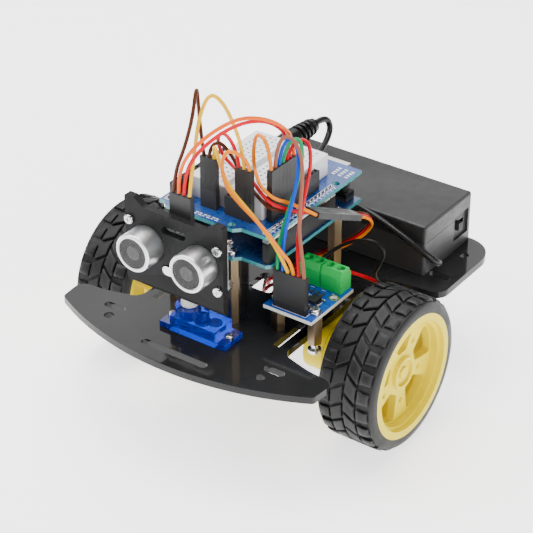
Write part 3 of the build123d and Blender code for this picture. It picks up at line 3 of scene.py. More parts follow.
import bpy
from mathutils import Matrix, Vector


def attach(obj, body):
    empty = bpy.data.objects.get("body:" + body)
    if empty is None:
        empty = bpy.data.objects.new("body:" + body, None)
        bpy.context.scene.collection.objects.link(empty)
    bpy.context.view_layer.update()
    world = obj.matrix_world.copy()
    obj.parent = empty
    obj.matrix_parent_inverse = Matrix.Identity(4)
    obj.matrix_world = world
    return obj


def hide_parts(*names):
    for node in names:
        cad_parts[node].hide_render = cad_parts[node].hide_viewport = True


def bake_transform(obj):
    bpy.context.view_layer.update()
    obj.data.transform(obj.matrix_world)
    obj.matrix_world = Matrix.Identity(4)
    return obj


# ---- frame --------------------------------------------------------------
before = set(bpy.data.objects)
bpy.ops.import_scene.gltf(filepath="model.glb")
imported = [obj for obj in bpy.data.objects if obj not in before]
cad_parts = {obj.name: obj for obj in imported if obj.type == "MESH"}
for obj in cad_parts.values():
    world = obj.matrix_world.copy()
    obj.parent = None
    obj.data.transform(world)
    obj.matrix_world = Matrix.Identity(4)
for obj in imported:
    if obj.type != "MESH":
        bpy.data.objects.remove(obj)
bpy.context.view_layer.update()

MM = 0.001

# Places and sizes below are in millimetres about the middle of the wheel axle.
CENTRE_Y = 8.0          # the middle of the plate is this far behind the wheel axle
AXLE_Z = 32.5
WHEEL_OUT = 74.7        # outer face of each tyre
TYRE_W = 26.0
TYRE_R = 32.5
RIM_R = 26.8
SHIELD_TOP = 92.4
DRIVER_TOP = 61.3
SOCKET_TOP = 100.9
PITCH = 2.54
PAN_X = -5.35           # the sensor head's turning axis
EYE_DX = 13.0           # each eye from that axis
EYE_FRONT = -59.6       # mouth of each eye
CAN_Z = 86.7            # middle of the eyes
WIRE_D = 1.5
CABLE_D = 1.2
LEAD_D = 2.8


def at(x, y, z):
    """Point in metres in the part's frame, from millimetres about the wheel axle."""
    return Vector((x * MM, (y - CENTRE_Y) * MM, z * MM))


# ---- camera -------------------------------------------------------------
def set_camera():
    data = bpy.data.cameras.new("camera")
    data.lens = 128.3
    data.sensor_width = 36.0
    data.clip_start = 0.01
    camera = bpy.data.objects.new("camera", data)
    bpy.context.scene.collection.objects.link(camera)
    target = at(-9.61, 17.66, 45.0)
    azimuth = math.radians(35.35)
    elevation = math.radians(31.85)
    distance = 0.80385
    away = Vector(
        (
            math.sin(azimuth) * math.cos(elevation),
            -math.cos(azimuth) * math.cos(elevation),
            math.sin(elevation),
        )
    )
    camera.location = target + away * distance
    camera.rotation_euler = (-away).to_track_quat("-Z", "Y").to_euler()
    bpy.context.scene.camera = camera


set_camera()


# ---- materials ----------------------------------------------------------
def noise_node(nodes, links, coords, scale, detail):
    node = nodes.new("ShaderNodeTexNoise")
    node.inputs["Scale"].default_value = scale
    node.inputs["Detail"].default_value = detail
    node.inputs["Roughness"].default_value = 0.55
    links.new(coords.outputs["Object"], node.inputs["Vector"])
    return node


def ranged(nodes, links, source, low, high):
    """Map noise, which mostly stays between 0.3 and 0.7, onto low to high."""
    node = nodes.new("ShaderNodeMapRange")
    node.inputs["From Min"].default_value = 0.3
    node.inputs["From Max"].default_value = 0.7
    node.inputs["To Min"].default_value = low
    node.inputs["To Max"].default_value = high
    links.new(source, node.inputs["Value"])
    return node.outputs["Result"]


def mixed(nodes, links, factor, first, second):
    """Mix of two colours. first and second are colours or sockets."""
    node = nodes.new("ShaderNodeMix")
    node.data_type = "RGBA"
    for index, value in ((6, first), (7, second)):
        if isinstance(value, bpy.types.NodeSocket):
            links.new(value, node.inputs[index])
        else:
            node.inputs[index].default_value = (*value[:3], 1.0)
    if isinstance(factor, bpy.types.NodeSocket):
        links.new(factor, node.inputs[0])
    else:
        node.inputs[0].default_value = factor
    return node.outputs[2]


def math_node(tree, operation, first, second=0.0):
    """One sum on two numbers or sockets."""
    node = tree.nodes.new("ShaderNodeMath")
    node.operation = operation
    for slot, value in zip(node.inputs, (first, second)):
        if isinstance(value, bpy.types.NodeSocket):
            tree.links.new(value, slot)
        else:
            slot.default_value = value
    return node.outputs[0]


def tinted(colour, gain):
    """Darker or lighter version of a colour. A lighter black is lifted a little too."""
    lift = 0.001 if gain > 1 else 0.0
    return tuple(min(1.0, max(0.0, c * gain + lift)) for c in colour)


def surface(
    name, colour, roughness, metallic=0.0, grain=1200.0, bump=0.12, spread=0.08,
    mottle=0.12, wear=0.25, coat=0.0, transmission=0.0, shine=0.5,
):
    """A material whose colour, gloss and relief vary over the piece, with paler worn edges."""
    material = bpy.data.materials.new(name)
    material.use_nodes = True
    nodes = material.node_tree.nodes
    links = material.node_tree.links
    bsdf = nodes["Principled BSDF"]
    coords = nodes.new("ShaderNodeTexCoord")
    fine = noise_node(nodes, links, coords, grain, 6.0)
    broad = noise_node(nodes, links, coords, grain / 14.0, 3.0)
    darker = tinted(colour, 1 - mottle)
    lighter = tinted(colour, 1 + mottle)
    base = mixed(nodes, links, broad.outputs["Fac"], darker, lighter)
    geometry = nodes.new("ShaderNodeNewGeometry")
    edge = nodes.new("ShaderNodeMapRange")
    edge.inputs["From Min"].default_value = 0.53
    edge.inputs["From Max"].default_value = 0.62
    edge.inputs["To Max"].default_value = wear
    links.new(geometry.outputs["Pointiness"], edge.inputs["Value"])
    pale = tuple(c + (0.8 - c) * 0.35 for c in colour)
    base = mixed(nodes, links, edge.outputs["Result"], base, pale)
    links.new(base, bsdf.inputs["Base Color"])
    low = max(0.02, roughness - spread)
    gloss = ranged(nodes, links, broad.outputs["Fac"], low, roughness + spread)
    links.new(gloss, bsdf.inputs["Roughness"])
    relief = nodes.new("ShaderNodeBump")
    relief.inputs["Strength"].default_value = bump
    relief.inputs["Distance"].default_value = 0.0004
    links.new(fine.outputs["Fac"], relief.inputs["Height"])
    links.new(relief.outputs["Normal"], bsdf.inputs["Normal"])
    bsdf.inputs["Metallic"].default_value = metallic
    bsdf.inputs["Coat Weight"].default_value = coat
    bsdf.inputs["Coat Roughness"].default_value = 0.08
    bsdf.inputs["Transmission Weight"].default_value = transmission
    bsdf.inputs["Specular IOR Level"].default_value = shine
    return material


def colour_input(material):
    """The socket that feeds a material's base colour, with its node tree."""
    tree = material.node_tree
    bsdf = tree.nodes["Principled BSDF"]
    return tree, bsdf, bsdf.inputs["Base Color"].links[0].from_socket


def split_by(material, axis, low, high, colour, roughness, metallic):
    """Another finish for the stretch of the piece between two places along an axis, in metres."""
    tree, bsdf, base = colour_input(material)
    nodes, links = tree.nodes, tree.links
    coords = nodes.new("ShaderNodeTexCoord")
    parts = nodes.new("ShaderNodeSeparateXYZ")
    links.new(coords.outputs["Object"], parts.inputs[0])
    above = math_node(tree, "GREATER_THAN", parts.outputs[axis], low)
    below = math_node(tree, "LESS_THAN", parts.outputs[axis], high)
    inside = math_node(tree, "MULTIPLY", above, below)
    links.new(mixed(nodes, links, inside, base, colour), bsdf.inputs["Base Color"])
    for socket, value in (("Metallic", metallic), ("Roughness", roughness)):
        choice = nodes.new("ShaderNodeMix")
        links.new(inside, choice.inputs[0])
        if bsdf.inputs[socket].links:
            links.new(bsdf.inputs[socket].links[0].from_socket, choice.inputs[2])
        else:
            choice.inputs[2].default_value = bsdf.inputs[socket].default_value
        choice.inputs[3].default_value = value
        links.new(choice.outputs[0], bsdf.inputs[socket])
    return material


def tracks_along(tree, coords, turn, scale):
    """Mask of fine straight copper tracks that run one way, in patches."""
    nodes, links = tree.nodes, tree.links
    mapping = nodes.new("ShaderNodeMapping")
    mapping.inputs["Rotation"].default_value = (0, 0, turn)
    links.new(coords.outputs["Object"], mapping.inputs["Vector"])
    wave = nodes.new("ShaderNodeTexWave")
    wave.inputs["Scale"].default_value = scale
    wave.inputs["Distortion"].default_value = 0.0
    links.new(mapping.outputs["Vector"], wave.inputs["Vector"])
    line = math_node(tree, "GREATER_THAN", wave.outputs["Fac"], 0.93)
    patch = nodes.new("ShaderNodeTexVoronoi")
    patch.inputs["Scale"].default_value = 130.0 + 40.0 * turn
    links.new(coords.outputs["Object"], patch.inputs["Vector"])
    channel = nodes.new("ShaderNodeSeparateColor")
    links.new(patch.outputs["Color"], channel.inputs[0])
    gate = math_node(tree, "GREATER_THAN", channel.outputs[0], 0.45)
    return math_node(tree, "MULTIPLY", line, gate)


def board_material(name, mask, edge):
    """Solder mask with faint copper tracks under it, and pale board at the cut edges."""
    material = surface(name, mask, 0.28, grain=2400.0, bump=0.05, mottle=0.1, wear=0.0, coat=0.5)
    tree, bsdf, base = colour_input(material)
    nodes, links = tree.nodes, tree.links
    coords = nodes.new("ShaderNodeTexCoord")
    tracks = 0.0
    for turn, scale in ((0, 420.0), (90, 330.0), (45, 280.0)):
        tracks = math_node(tree, "MAXIMUM", tracks, tracks_along(tree, coords, math.radians(turn), scale))
    over_copper = tuple(min(1.0, c * 1.9 + 0.02) for c in mask)
    traced = mixed(nodes, links, tracks, base, over_copper)
    geometry = nodes.new("ShaderNodeNewGeometry")
    parts = nodes.new("ShaderNodeSeparateXYZ")
    links.new(geometry.outputs["True Normal"], parts.inputs[0])
    upright = math_node(tree, "ABSOLUTE", parts.outputs[2])
    cut_edge = math_node(tree, "LESS_THAN", upright, 0.5)
    links.new(mixed(nodes, links, cut_edge, traced, edge), bsdf.inputs["Base Color"])
    return material


def scratched(material, strength):
    """Fine straight scratches in the gloss of a polished sheet."""
    tree = material.node_tree
    nodes, links = tree.nodes, tree.links
    bsdf = nodes["Principled BSDF"]
    coords = nodes.new("ShaderNodeTexCoord")
    mapping = nodes.new("ShaderNodeMapping")
    mapping.inputs["Rotation"].default_value = (0, 0, 0.6)
    mapping.inputs["Scale"].default_value = (40.0, 1400.0, 1400.0)
    links.new(coords.outputs["Object"], mapping.inputs["Vector"])
    streak = nodes.new("ShaderNodeTexNoise")
    streak.inputs["Scale"].default_value = 1.0
    links.new(mapping.outputs["Vector"], streak.inputs["Vector"])
    gate = nodes.new("ShaderNodeMapRange")
    gate.inputs["From Min"].default_value = 0.66
    gate.inputs["From Max"].default_value = 0.8
    gate.inputs["To Max"].default_value = strength
    links.new(streak.outputs["Fac"], gate.inputs["Value"])
    gloss = bsdf.inputs["Roughness"].links[0].from_socket
    links.new(math_node(tree, "ADD", gloss, gate.outputs["Result"]), bsdf.inputs["Roughness"])
    return material


def acrylic():
    """Polished black sheet with fine scratches."""
    sheet = surface(
        "black_acrylic", (0.002, 0.002, 0.0022), 0.07, grain=700.0, bump=0.01, spread=0.03,
        wear=0.06, shine=0.22,
    )
    return scratched(sheet, 0.2)


def motor_can():
    """Steel can whose rear end is a pale plastic cap."""
    can = surface("motor_can", STEEL, 0.3, metallic=1.0, grain=2000.0, bump=0.08)
    cap_from, cap_to = 0.0436, 0.0468
    return split_by(can, 1, cap_from, cap_to, (0.55, 0.54, 0.5), 0.45, 0.0)


BLACK = (0.004, 0.004, 0.0045)
STEEL = (0.62, 0.62, 0.63)
GOLD = (0.75, 0.55, 0.22)

MATERIALS = {
    "acrylic": acrylic(),
    "panel": surface(
        "panel_black", (0.002, 0.002, 0.0022), 0.24, grain=1500.0, bump=0.05, wear=0.06, shine=0.05
    ),
    "yellow": surface(
        "yellow_plastic", (0.8, 0.64, 0.0), 0.36, grain=900.0, bump=0.05, mottle=0.05, wear=0.05,
        shine=0.12,
    ),
    "tyre": surface(
        "tyre_rubber", (0.014, 0.014, 0.0145), 0.46, grain=1800.0, bump=0.3, mottle=0.3,
        wear=0.12, shine=0.2,
    ),
    "steel": surface("screw_steel", STEEL, 0.24, metallic=1.0, grain=2600.0, bump=0.06),
    "motor": motor_can(),
    "nylon": surface("white_nylon", (0.78, 0.78, 0.74), 0.45, bump=0.06, mottle=0.05),
    "strap": surface("strap_plastic", (0.75, 0.75, 0.7), 0.3, transmission=0.4, mottle=0.05),
    "zinc": surface("zinc_plate", (0.6, 0.61, 0.63), 0.34, metallic=1.0, grain=1600.0, bump=0.1),
    "brass": surface(
        "brass", (0.2, 0.13, 0.05), 0.36, metallic=1.0, grain=2200.0, bump=0.1, mottle=0.2
    ),
    "abs": surface(
        "black_abs", (0.012, 0.012, 0.0125), 0.42, grain=3000.0, bump=0.2, wear=0.15, shine=0.45
    ),
    "cell": surface("cell_wrap", (0.05, 0.2, 0.5), 0.3, coat=0.3),
    "nickel": surface("nickel", (0.66, 0.65, 0.62), 0.26, metallic=1.0, grain=2600.0, bump=0.06),
    "header": surface("header_black", BLACK, 0.36, grain=2600.0, bump=0.1, wear=0.12, shine=0.2),
    "contact": surface("crimp_metal", (0.3, 0.26, 0.2), 0.4, metallic=1.0, grain=2600.0, bump=0.1),
    "chip": surface(
        "chip_black", (0.008, 0.008, 0.009), 0.45, grain=3600.0, bump=0.2, wear=0.12, shine=0.28
    ),
    "white": surface(
        "breadboard_white", (0.82, 0.83, 0.83), 0.42, grain=2000.0, bump=0.06, mottle=0.03, wear=0.05
    ),
    "green": surface(
        "terminal_green", (0.0, 0.56, 0.09), 0.32, grain=1500.0, bump=0.06, wear=0.05, shine=0.2
    ),
    "servo": surface(
        "servo_blue", (0.006, 0.05, 0.62), 0.1, grain=900.0, bump=0.03, transmission=0.75, wear=0.3
    ),
    "can": surface(
        "eye_aluminium", (0.86, 0.87, 0.88), 0.36, metallic=1.0, grain=1500.0, bump=0.05, mottle=0.08
    ),
    "rim_white": surface("eye_rim", (0.9, 0.9, 0.9), 0.4, grain=2000.0, bump=0.05, mottle=0.04),
    "mesh": surface("eye_mesh", (0.03, 0.03, 0.03), 0.4, metallic=1.0, grain=3000.0, bump=0.1),
    # Painted shade: near-black colour for the sheet that stands in for the shadow deep inside each eye.
    "eye_painted_shade": surface(
        "eye_painted_shade", (0.006, 0.006, 0.006), 0.6, grain=3000.0, bump=0.1, wear=0.0, shine=0.2
    ),
    "eye_disc": surface("eye_disc", (0.3, 0.3, 0.29), 0.5, grain=3000.0, bump=0.1, wear=0.0),
    "lead": surface(
        "lead_black", (0.006, 0.006, 0.006), 0.3, grain=2200.0, bump=0.1, wear=0.1, shine=0.28
    ),
    "print": surface("board_print", (0.85, 0.87, 0.88), 0.5, grain=4000.0, bump=0.1, mottle=0.08),
    "gold": surface("gold_pad", GOLD, 0.28, metallic=1.0, grain=3000.0, bump=0.08),
    "solder": surface("solder", (0.7, 0.7, 0.71), 0.25, metallic=1.0, grain=2400.0, bump=0.2),
    "tan": surface("part_tan", (0.45, 0.3, 0.16), 0.5, grain=3000.0, bump=0.1),
    "shield": board_material("shield_mask", (0.001, 0.04, 0.2), (0.05, 0.33, 0.33)),
    "controller": board_material("controller_mask", (0.001, 0.03, 0.11), (0.04, 0.26, 0.28)),
    "driver": board_material("driver_mask", (0.001, 0.05, 0.3), (0.78, 0.8, 0.76)),
    "sensor": board_material("sensor_mask", (0.001, 0.07, 0.36), (0.45, 0.5, 0.5)),
}

WIRE_COLOURS = {
    "brown": (0.085, 0.02, 0.006),
    "pink_brown": (0.3, 0.1, 0.06),
    "red": (0.58, 0.0, 0.012),
    "dark_red": (0.36, 0.0, 0.003),
    "orange": (0.85, 0.12, 0.0),
    "light_orange": (0.88, 0.24, 0.0),
    "yellow": (0.9, 0.52, 0.0),
    "green": (0.0, 0.33, 0.11),
    "blue": (0.0, 0.07, 0.55),
    "black": (0.005, 0.005, 0.005),
}
for shade, rgb in WIRE_COLOURS.items():
    MATERIALS["wire_" + shade] = surface(
        "wire_" + shade, rgb, 0.34, grain=500.0, bump=0.08, mottle=0.12, wear=0.0, shine=0.18
    )


# ---- wires --------------------------------------------------------------
SENSOR_ROUTES = {
    "brown": [
        (-9.16, -44.3, 110.6), (-8.6, -43.8, 119.0), (-5.0, -42.2, 129.5), (-3.6, -38.8, 141.0),
        (-4.8, -34.2, 153.0), (-7.6, -29.8, 143.0), (-10.9, -24.5, 127.5), (-12.1, -21.0, 114.9),
    ],
    "orange": [
        (-6.62, -44.3, 110.6), (-6.1, -45.1, 118.6), (-0.6, -46.2, 130.0), (6.8, -41.2, 139.2),
        (13.3, -32.2, 143.6), (17.2, -21.5, 140.0), (19.0, -11.0, 132.5), (17.8, -3.4, 123.5),
        (16.35, -0.49, 114.9),
    ],
    "red": [
        (-4.08, -44.3, 110.6), (-3.6, -44.4, 118.5), (0.2, -43.6, 128.0), (6.0, -37.6, 135.6),
        (11.0, -28.0, 139.0), (14.8, -18.2, 137.0), (16.8, -10.0, 131.0), (16.5, -5.2, 123.5),
        (16.35, -3.03, 114.9),
    ],
    "yellow": [
        (-1.54, -44.3, 110.6), (-1.3, -43.2, 119.0), (-1.6, -40.2, 129.5), (-2.0, -36.8, 141.0),
        (-0.9, -31.8, 149.8), (1.8, -27.0, 145.0), (4.8, -23.6, 134.0), (6.7, -21.6, 124.0),
        (7.37, -21.0, 114.9),
    ],
}

DRIVER_ROUTES = {
    "green": [
        (16.35, -8.11, 114.9), (17.4, -8.0, 120.5), (20.4, -6.8, 126.4), (24.2, -6.6, 126.0),
        (26.2, -9.0, 118.5), (26.0, -12.6, 109.5), (25.2, -16.8, 100.5), (24.8, -21.0, 91.5),
        (24.9, -23.8, 84.0), (25.4, -24.4, 77.8),
    ],
    "blue": [
        (16.35, -10.65, 114.9), (17.2, -10.8, 121.0), (19.8, -10.0, 127.4), (23.6, -9.8, 127.6),
        (26.6, -11.8, 120.5), (27.6, -15.0, 111.5), (27.4, -18.6, 102.5), (27.2, -22.0, 93.5),
        (27.6, -24.0, 85.0), (27.94, -24.4, 77.8),
    ],
    "yellow": [
        (-7.02, -21.0, 114.9), (-6.6, -21.8, 119.8), (-4.4, -24.0, 122.4), (-1.5, -25.4, 118.0),
        (1.5, -26.0, 111.5), (6.0, -26.6, 106.5), (12.0, -27.0, 102.5), (18.2, -27.3, 98.0),
        (24.0, -27.4, 92.5), (28.8, -26.4, 85.2), (30.48, -24.4, 77.8),
    ],
    "light_orange": [
        (9.91, -21.0, 114.9), (9.5, -22.0, 119.4), (6.6, -24.6, 123.2), (2.4, -26.0, 123.6),
        (1.0, -27.6, 117.5), (4.0, -28.8, 109.8), (10.0, -29.1, 105.0), (17.0, -29.2, 100.8),
        (24.0, -28.9, 95.6), (29.6, -27.9, 88.6), (32.6, -25.2, 83.2), (33.02, -24.4, 77.8),
    ],
    "red": [
        (16.35, -5.57, 114.9), (17.8, -5.2, 120.0), (21.4, -3.8, 125.0), (25.8, -3.6, 124.6),
        (28.6, -6.6, 117.0), (29.4, -11.4, 107.5), (30.4, -16.6, 97.5), (32.6, -21.6, 88.0),
        (35.56, -24.4, 77.8),
    ],
    "pink_brown": [
        (16.35, -13.19, 114.9), (16.9, -13.4, 122.0), (19.6, -12.6, 129.6), (24.4, -12.0, 129.4),
        (28.2, -12.2, 122.5), (30.0, -14.4, 113.5), (31.0, -17.4, 104.0), (32.6, -20.2, 95.0),
        (36.0, -23.0, 86.6), (38.1, -24.4, 77.8),
    ],
}

SERVO_ROUTES = {
    "brown": [
        (-9.56, -21.0, 114.9), (-9.4, -20.6, 119.0), (-7.4, -17.4, 121.0), (-4.6, -14.2, 115.6),
        (0.0, -13.6, 108.0), (6.8, -16.4, 104.4), (12.9, -19.0, 103.0), (18.9, -20.4, 100.5),
        (22.8, -15.0, 98.4), (24.6, -9.4, 96.0), (25.33, -3.7, 94.2),
    ],
    "red": [
        (4.83, -21.0, 114.9), (3.6, -20.6, 120.0), (-1.0, -18.6, 124.5), (-7.0, -16.4, 125.0),
        (-11.8, -12.8, 118.0), (-12.4, -9.0, 110.0), (-6.4, -9.0, 105.6), (1.6, -11.8, 105.4),
        (8.2, -15.6, 106.4), (13.2, -19.0, 105.8), (19.3, -20.0, 102.6), (24.2, -15.2, 99.6),
        (26.8, -9.6, 96.6), (27.6, -4.1, 94.2),
    ],
    "light_orange": [
        (16.35, -15.73, 114.9), (15.8, -15.9, 121.0), (13.0, -15.2, 127.4), (7.8, -13.6, 127.4),
        (4.8, -11.4, 119.0), (4.8, -11.2, 110.8), (8.6, -14.4, 108.8), (13.4, -19.0, 108.4),
        (19.6, -19.4, 105.0), (23.6, -13.4, 101.6), (28.2, -9.2, 98.0), (29.87, -4.5, 94.2),
    ],
}

MOTOR_ROUTES = {
    "left_red": [
        (29.62, -1.2, 64.3), (29.8, 5.6, 64.0), (31.6, 13.0, 60.6), (34.8, 19.4, 56.4),
        (38.6, 25.4, 52.0), (41.4, 30.0, 47.4), (44.4, 34.0, 43.5), (47.5, 39.5, 40.3),
        (47.7, 46.4, 39.8), (47.0, 52.6, 39.8), (43.6, 55.2, 39.7), (39.4, 54.6, 39.6),
    ],
    "left_black": [
        (24.54, -1.2, 64.3), (24.8, 5.6, 65.4), (28.4, 12.6, 70.2), (34.8, 18.0, 73.6),
        (41.8, 20.4, 74.2), (46.4, 21.3, 70.4), (45.0, 20.2, 64.2), (41.6, 21.4, 58.4),
        (41.0, 24.8, 53.0), (43.6, 28.4, 48.0), (46.6, 31.8, 42.8), (48.0, 37.0, 37.4),
        (48.1, 43.6, 33.0), (47.9, 50.2, 29.0), (45.2, 54.4, 26.2), (39.4, 54.8, 25.5),
    ],
    "right_red": [
        (34.7, -1.2, 64.3), (34.6, 5.4, 64.0), (31.4, 10.6, 62.8), (24.0, 10.8, 60.6),
        (15.0, 6.4, 58.0), (7.0, 2.6, 54.6), (1.8, 2.8, 50.2), (-0.6, 6.2, 45.2),
        (-4.4, 12.6, 42.3), (-10.0, 22.0, 41.6), (-16.0, 32.0, 41.6), (-22.0, 42.0, 41.2),
        (-27.2, 50.6, 40.6), (-31.6, 54.6, 39.8), (-37.2, 54.8, 39.6),
    ],
    "right_black": [
        (39.78, -1.2, 64.3), (39.6, 5.6, 63.2), (36.0, 11.0, 60.8), (27.6, 12.2, 57.6),
        (19.0, 8.6, 54.6), (11.2, 3.4, 53.0), (4.6, -0.2, 50.4), (1.4, 0.4, 45.6),
        (-3.2, 6.4, 40.8), (-8.6, 15.2, 39.4), (-13.8, 25.4, 38.6), (-19.0, 36.0, 36.4),
        (-24.4, 46.4, 32.2), (-29.4, 54.0, 27.4), (-37.2, 55.0, 25.5),
    ],
}

LEAD_ROUTE = [
    (-22.48, 71.05, 85.8), (-22.3, 75.6, 86.4), (-21.4, 80.6, 85.0), (-20.4, 81.6, 80.4),
    (-19.4, 77.4, 76.8), (-17.4, 70.0, 75.4), (-14.6, 61.6, 74.6), (-10.0, 53.4, 74.2), (-2.4, 46.9, 74.0),
    (8.0, 43.4, 74.0), (18.5, 42.4, 72.9), (28.6, 42.8, 70.2), (38.6, 42.6, 66.8),
    (47.4, 42.7, 63.2), (54.0, 43.8, 59.2), (57.0, 47.0, 55.6), (55.4, 50.4, 53.6),
    (51.0, 51.6, 53.2),
]


def servo_cable_route(k):
    """One of the servo's three cores: -1, 0 or 1 counts across the flat cable."""
    upper = [(32.4, 28.0, 79.6), (32.2, 34.0, 74.2), (28.6, 36.4, 67.6), (23.2, 33.6, 61.8)]
    upper += [(15.8, 27.6, 57.6), (9.2, 18.6, 54.4), (5.2, 9.6, 50.6)]
    lower = [(4.0, 4.6, 44.6), (4.6, -3.4, 40.2), (8.2, -12.6, 37.2), (12.8, -22.4, 36.0)]
    lower += [(16.6, -31.6, 36.0), (16.6, -39.0, 36.0), (11.7, -41.0, 36.0)]
    route = [(31.6 + 2.35 * k, 21.6 - 0.4 * k, 82.4)]
    route += [(x + k, y - k, z - 0.3 * k) for x, y, z in upper]
    return route + [(x, y, z + 1.3 * k) for x, y, z in lower]


def wire_curve(name, route, diameter):
    """Round wire: an open curve with the route's points as its control points."""
    data = bpy.data.curves.new(name, "CURVE")
    data.dimensions = "3D"
    data.resolution_u = 10
    spline = data.splines.new("NURBS")
    spline.points.add(len(route) - 1)
    for point, place in zip(spline.points, route):
        point.co = (*at(*place), 1.0)
    spline.order_u = 3
    spline.use_endpoint_u = True
    obj = bpy.data.objects.new(name, data)
    bpy.context.scene.collection.objects.link(obj)
    bpy.context.view_layer.update()
    line = bpy.data.meshes.new_from_object(obj)
    path = [tuple(v.co) for v in line.vertices]
    bpy.data.meshes.remove(line)
    data.bevel_depth = diameter * MM / 2
    data.bevel_resolution = 4
    data.use_fill_caps = True
    return obj, path


def add_wire(
    name, route, diameter, material, node
):
    """Wire between pieces that stand still."""
    obj, path = wire_curve(name, route, diameter)
    obj.data.materials.append(material)
    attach(obj, "chassis")
    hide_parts(node)


def add_bending_wire(name, route, diameter, material, node):
    """Wire from the turning sensor head to the fixed boards, as a mesh of fixed shape."""
    obj, path = wire_curve(name + "_line", route, diameter)
    mesh = bpy.data.meshes.new_from_object(obj)
    bpy.data.objects.remove(obj)
    tube = bpy.data.objects.new(name, mesh)
    bpy.context.scene.collection.objects.link(tube)
    mesh.materials.clear()
    mesh.materials.append(material)
    for face in mesh.polygons:
        face.use_smooth = True
    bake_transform(tube)
    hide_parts(node)


MOTOR_COLOURS = {"left_red": "red", "left_black": "black", "right_red": "red", "right_black": "dark_red"}
for colour, route in SENSOR_ROUTES.items():
    add_bending_wire(
        "sensor_wire_" + colour, route, WIRE_D, MATERIALS["wire_" + colour], "sensor_wires",
    )
for colour, route in DRIVER_ROUTES.items():
    add_wire(
        "driver_wire_" + colour, route, WIRE_D, MATERIALS["wire_" + colour], "board_wires",
    )
for colour, route in SERVO_ROUTES.items():
    add_wire("servo_wire_" + colour, route, WIRE_D, MATERIALS["wire_" + colour], "board_wires")
for colour, core in (("light_orange", 1), ("red", 0), ("brown", -1)):
    material = MATERIALS["wire_" + colour]
    add_wire("servo_cable_" + colour, servo_cable_route(core), CABLE_D, material, "board_wires")
for label, route in MOTOR_ROUTES.items():
    material = MATERIALS["wire_" + MOTOR_COLOURS[label]]
    add_wire("motor_wire_" + label, route, WIRE_D, material, "motor_wires")
add_wire(
    "battery_lead_cord", LEAD_ROUTE, LEAD_D, MATERIALS["lead"], "battery_lead",
)


# ---- materials on the CAD pieces ----------------------------------------
NODE_MATERIALS = {
    "chassis_plate": "acrylic", "motor_brackets": "acrylic", "sensor_bracket": "panel",
    "left_gearbox": "yellow", "right_gearbox": "yellow", "left_rim": "yellow", "right_rim": "yellow",
    "left_motor": "motor", "right_motor": "motor", "motor_straps": "strap", "motor_bolts": "steel",
    "left_axle": "nylon", "right_axle": "nylon", "left_idler_gear": "nylon", "right_idler_gear": "nylon",
    "caster_plate": "zinc", "caster_fork": "zinc", "caster_axle": "zinc", "caster_wheel": "tyre",
    "caster_columns": "brass", "board_columns": "brass", "machine_screws": "steel",
    "battery_box": "abs", "battery_lid": "abs", "battery_cells": "cell", "battery_contacts": "nickel",
    "switch_body": "header", "switch_knob": "header", "controller_board": "controller",
    "controller_sockets": "header", "controller_chips": "chip", "usb_socket": "nickel",
    "power_jack": "header", "reset_switch": "header", "reset_cap": "header", "shield_board": "shield",
    "shield_pins": "solder", "shield_sockets": "header", "breadboard": "white", "driver_board": "driver",
    "driver_parts": "chip", "driver_terminals": "green", "terminal_screws": "steel", "servo_case": "servo",
    "servo_screws": "steel", "servo_horn": "nylon", "sensor_board": "sensor", "sensor_cans": "can",
    "sensor_header": "nickel", "sensor_screws": "steel", "sensor_plug": "header", "jumper_plugs": "header",
    "power_plug": "lead", "sensor_grilles": "mesh",
}


for node, key in NODE_MATERIALS.items():
    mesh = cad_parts[node].data
    mesh.materials.clear()
    mesh.materials.append(MATERIALS[key])


# ---- detail shapes ------------------------------------------------------
class Piece:
    """Collects small shapes, placed in millimetres about the wheel axle, into one mesh."""

    def __init__(self, name):
        self.name = name
        self.points = []
        self.faces = []

    def add(self, points, faces):
        start = len(self.points)
        self.points += [at(*p) for p in points]
        self.faces += [[start + i for i in face] for face in faces]

    def box(self, x0, x1, y0, y1, z0, z1):
        corners = [(x, y, z) for z in (z0, z1) for y in (y0, y1) for x in (x0, x1)]
        self.add(
            corners,
            [(0, 2, 3, 1), (4, 5, 7, 6), (0, 1, 5, 4), (2, 6, 7, 3), (0, 4, 6, 2), (1, 3, 7, 5)],
        )

    def lathe(self, centre, profile, axis="z", steps=20):
        """Closed turned shape. profile is (radius, height) from one end to the other."""
        points = []
        for radius, height in profile:
            for i in range(steps):
                angle = 2 * math.pi * i / steps
                a, b = radius * math.cos(angle), radius * math.sin(angle)
                offset = (a, b, height) if axis == "z" else (a, -height, b)
                points.append(tuple(c + o for c, o in zip(centre, offset)))
        faces = []
        for ring in range(len(profile) - 1):
            for i in range(steps):
                j = (i + 1) % steps
                low, high = ring * steps, (ring + 1) * steps
                faces.append((low + i, low + j, high + j, high + i))
        faces.append(tuple(reversed(range(steps))))
        faces.append(tuple(range((len(profile) - 1) * steps, len(profile) * steps)))
        self.add(points, faces)

    def grid(self, rows):
        """Sheet through rows of points, each row as long as the first."""
        wide = len(rows[0])
        faces = []
        for r in range(len(rows) - 1):
            for c in range(wide - 1):
                a = r * wide + c
                faces.append((a, a + 1, a + wide + 1, a + wide))
        self.add([p for row in rows for p in row], faces)

    def finish(self, material, body, smooth=False):
        mesh = bpy.data.meshes.new(self.name)
        mesh.from_pydata(self.points, [], self.faces)
        mesh.validate()
        mesh.materials.append(material)
        obj = bpy.data.objects.new(self.name, mesh)
        bpy.context.scene.collection.objects.link(obj)
        if smooth:
            mesh.shade_smooth()
            mesh.set_sharp_from_angle(angle=math.radians(40))
        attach(obj, body)
        return obj


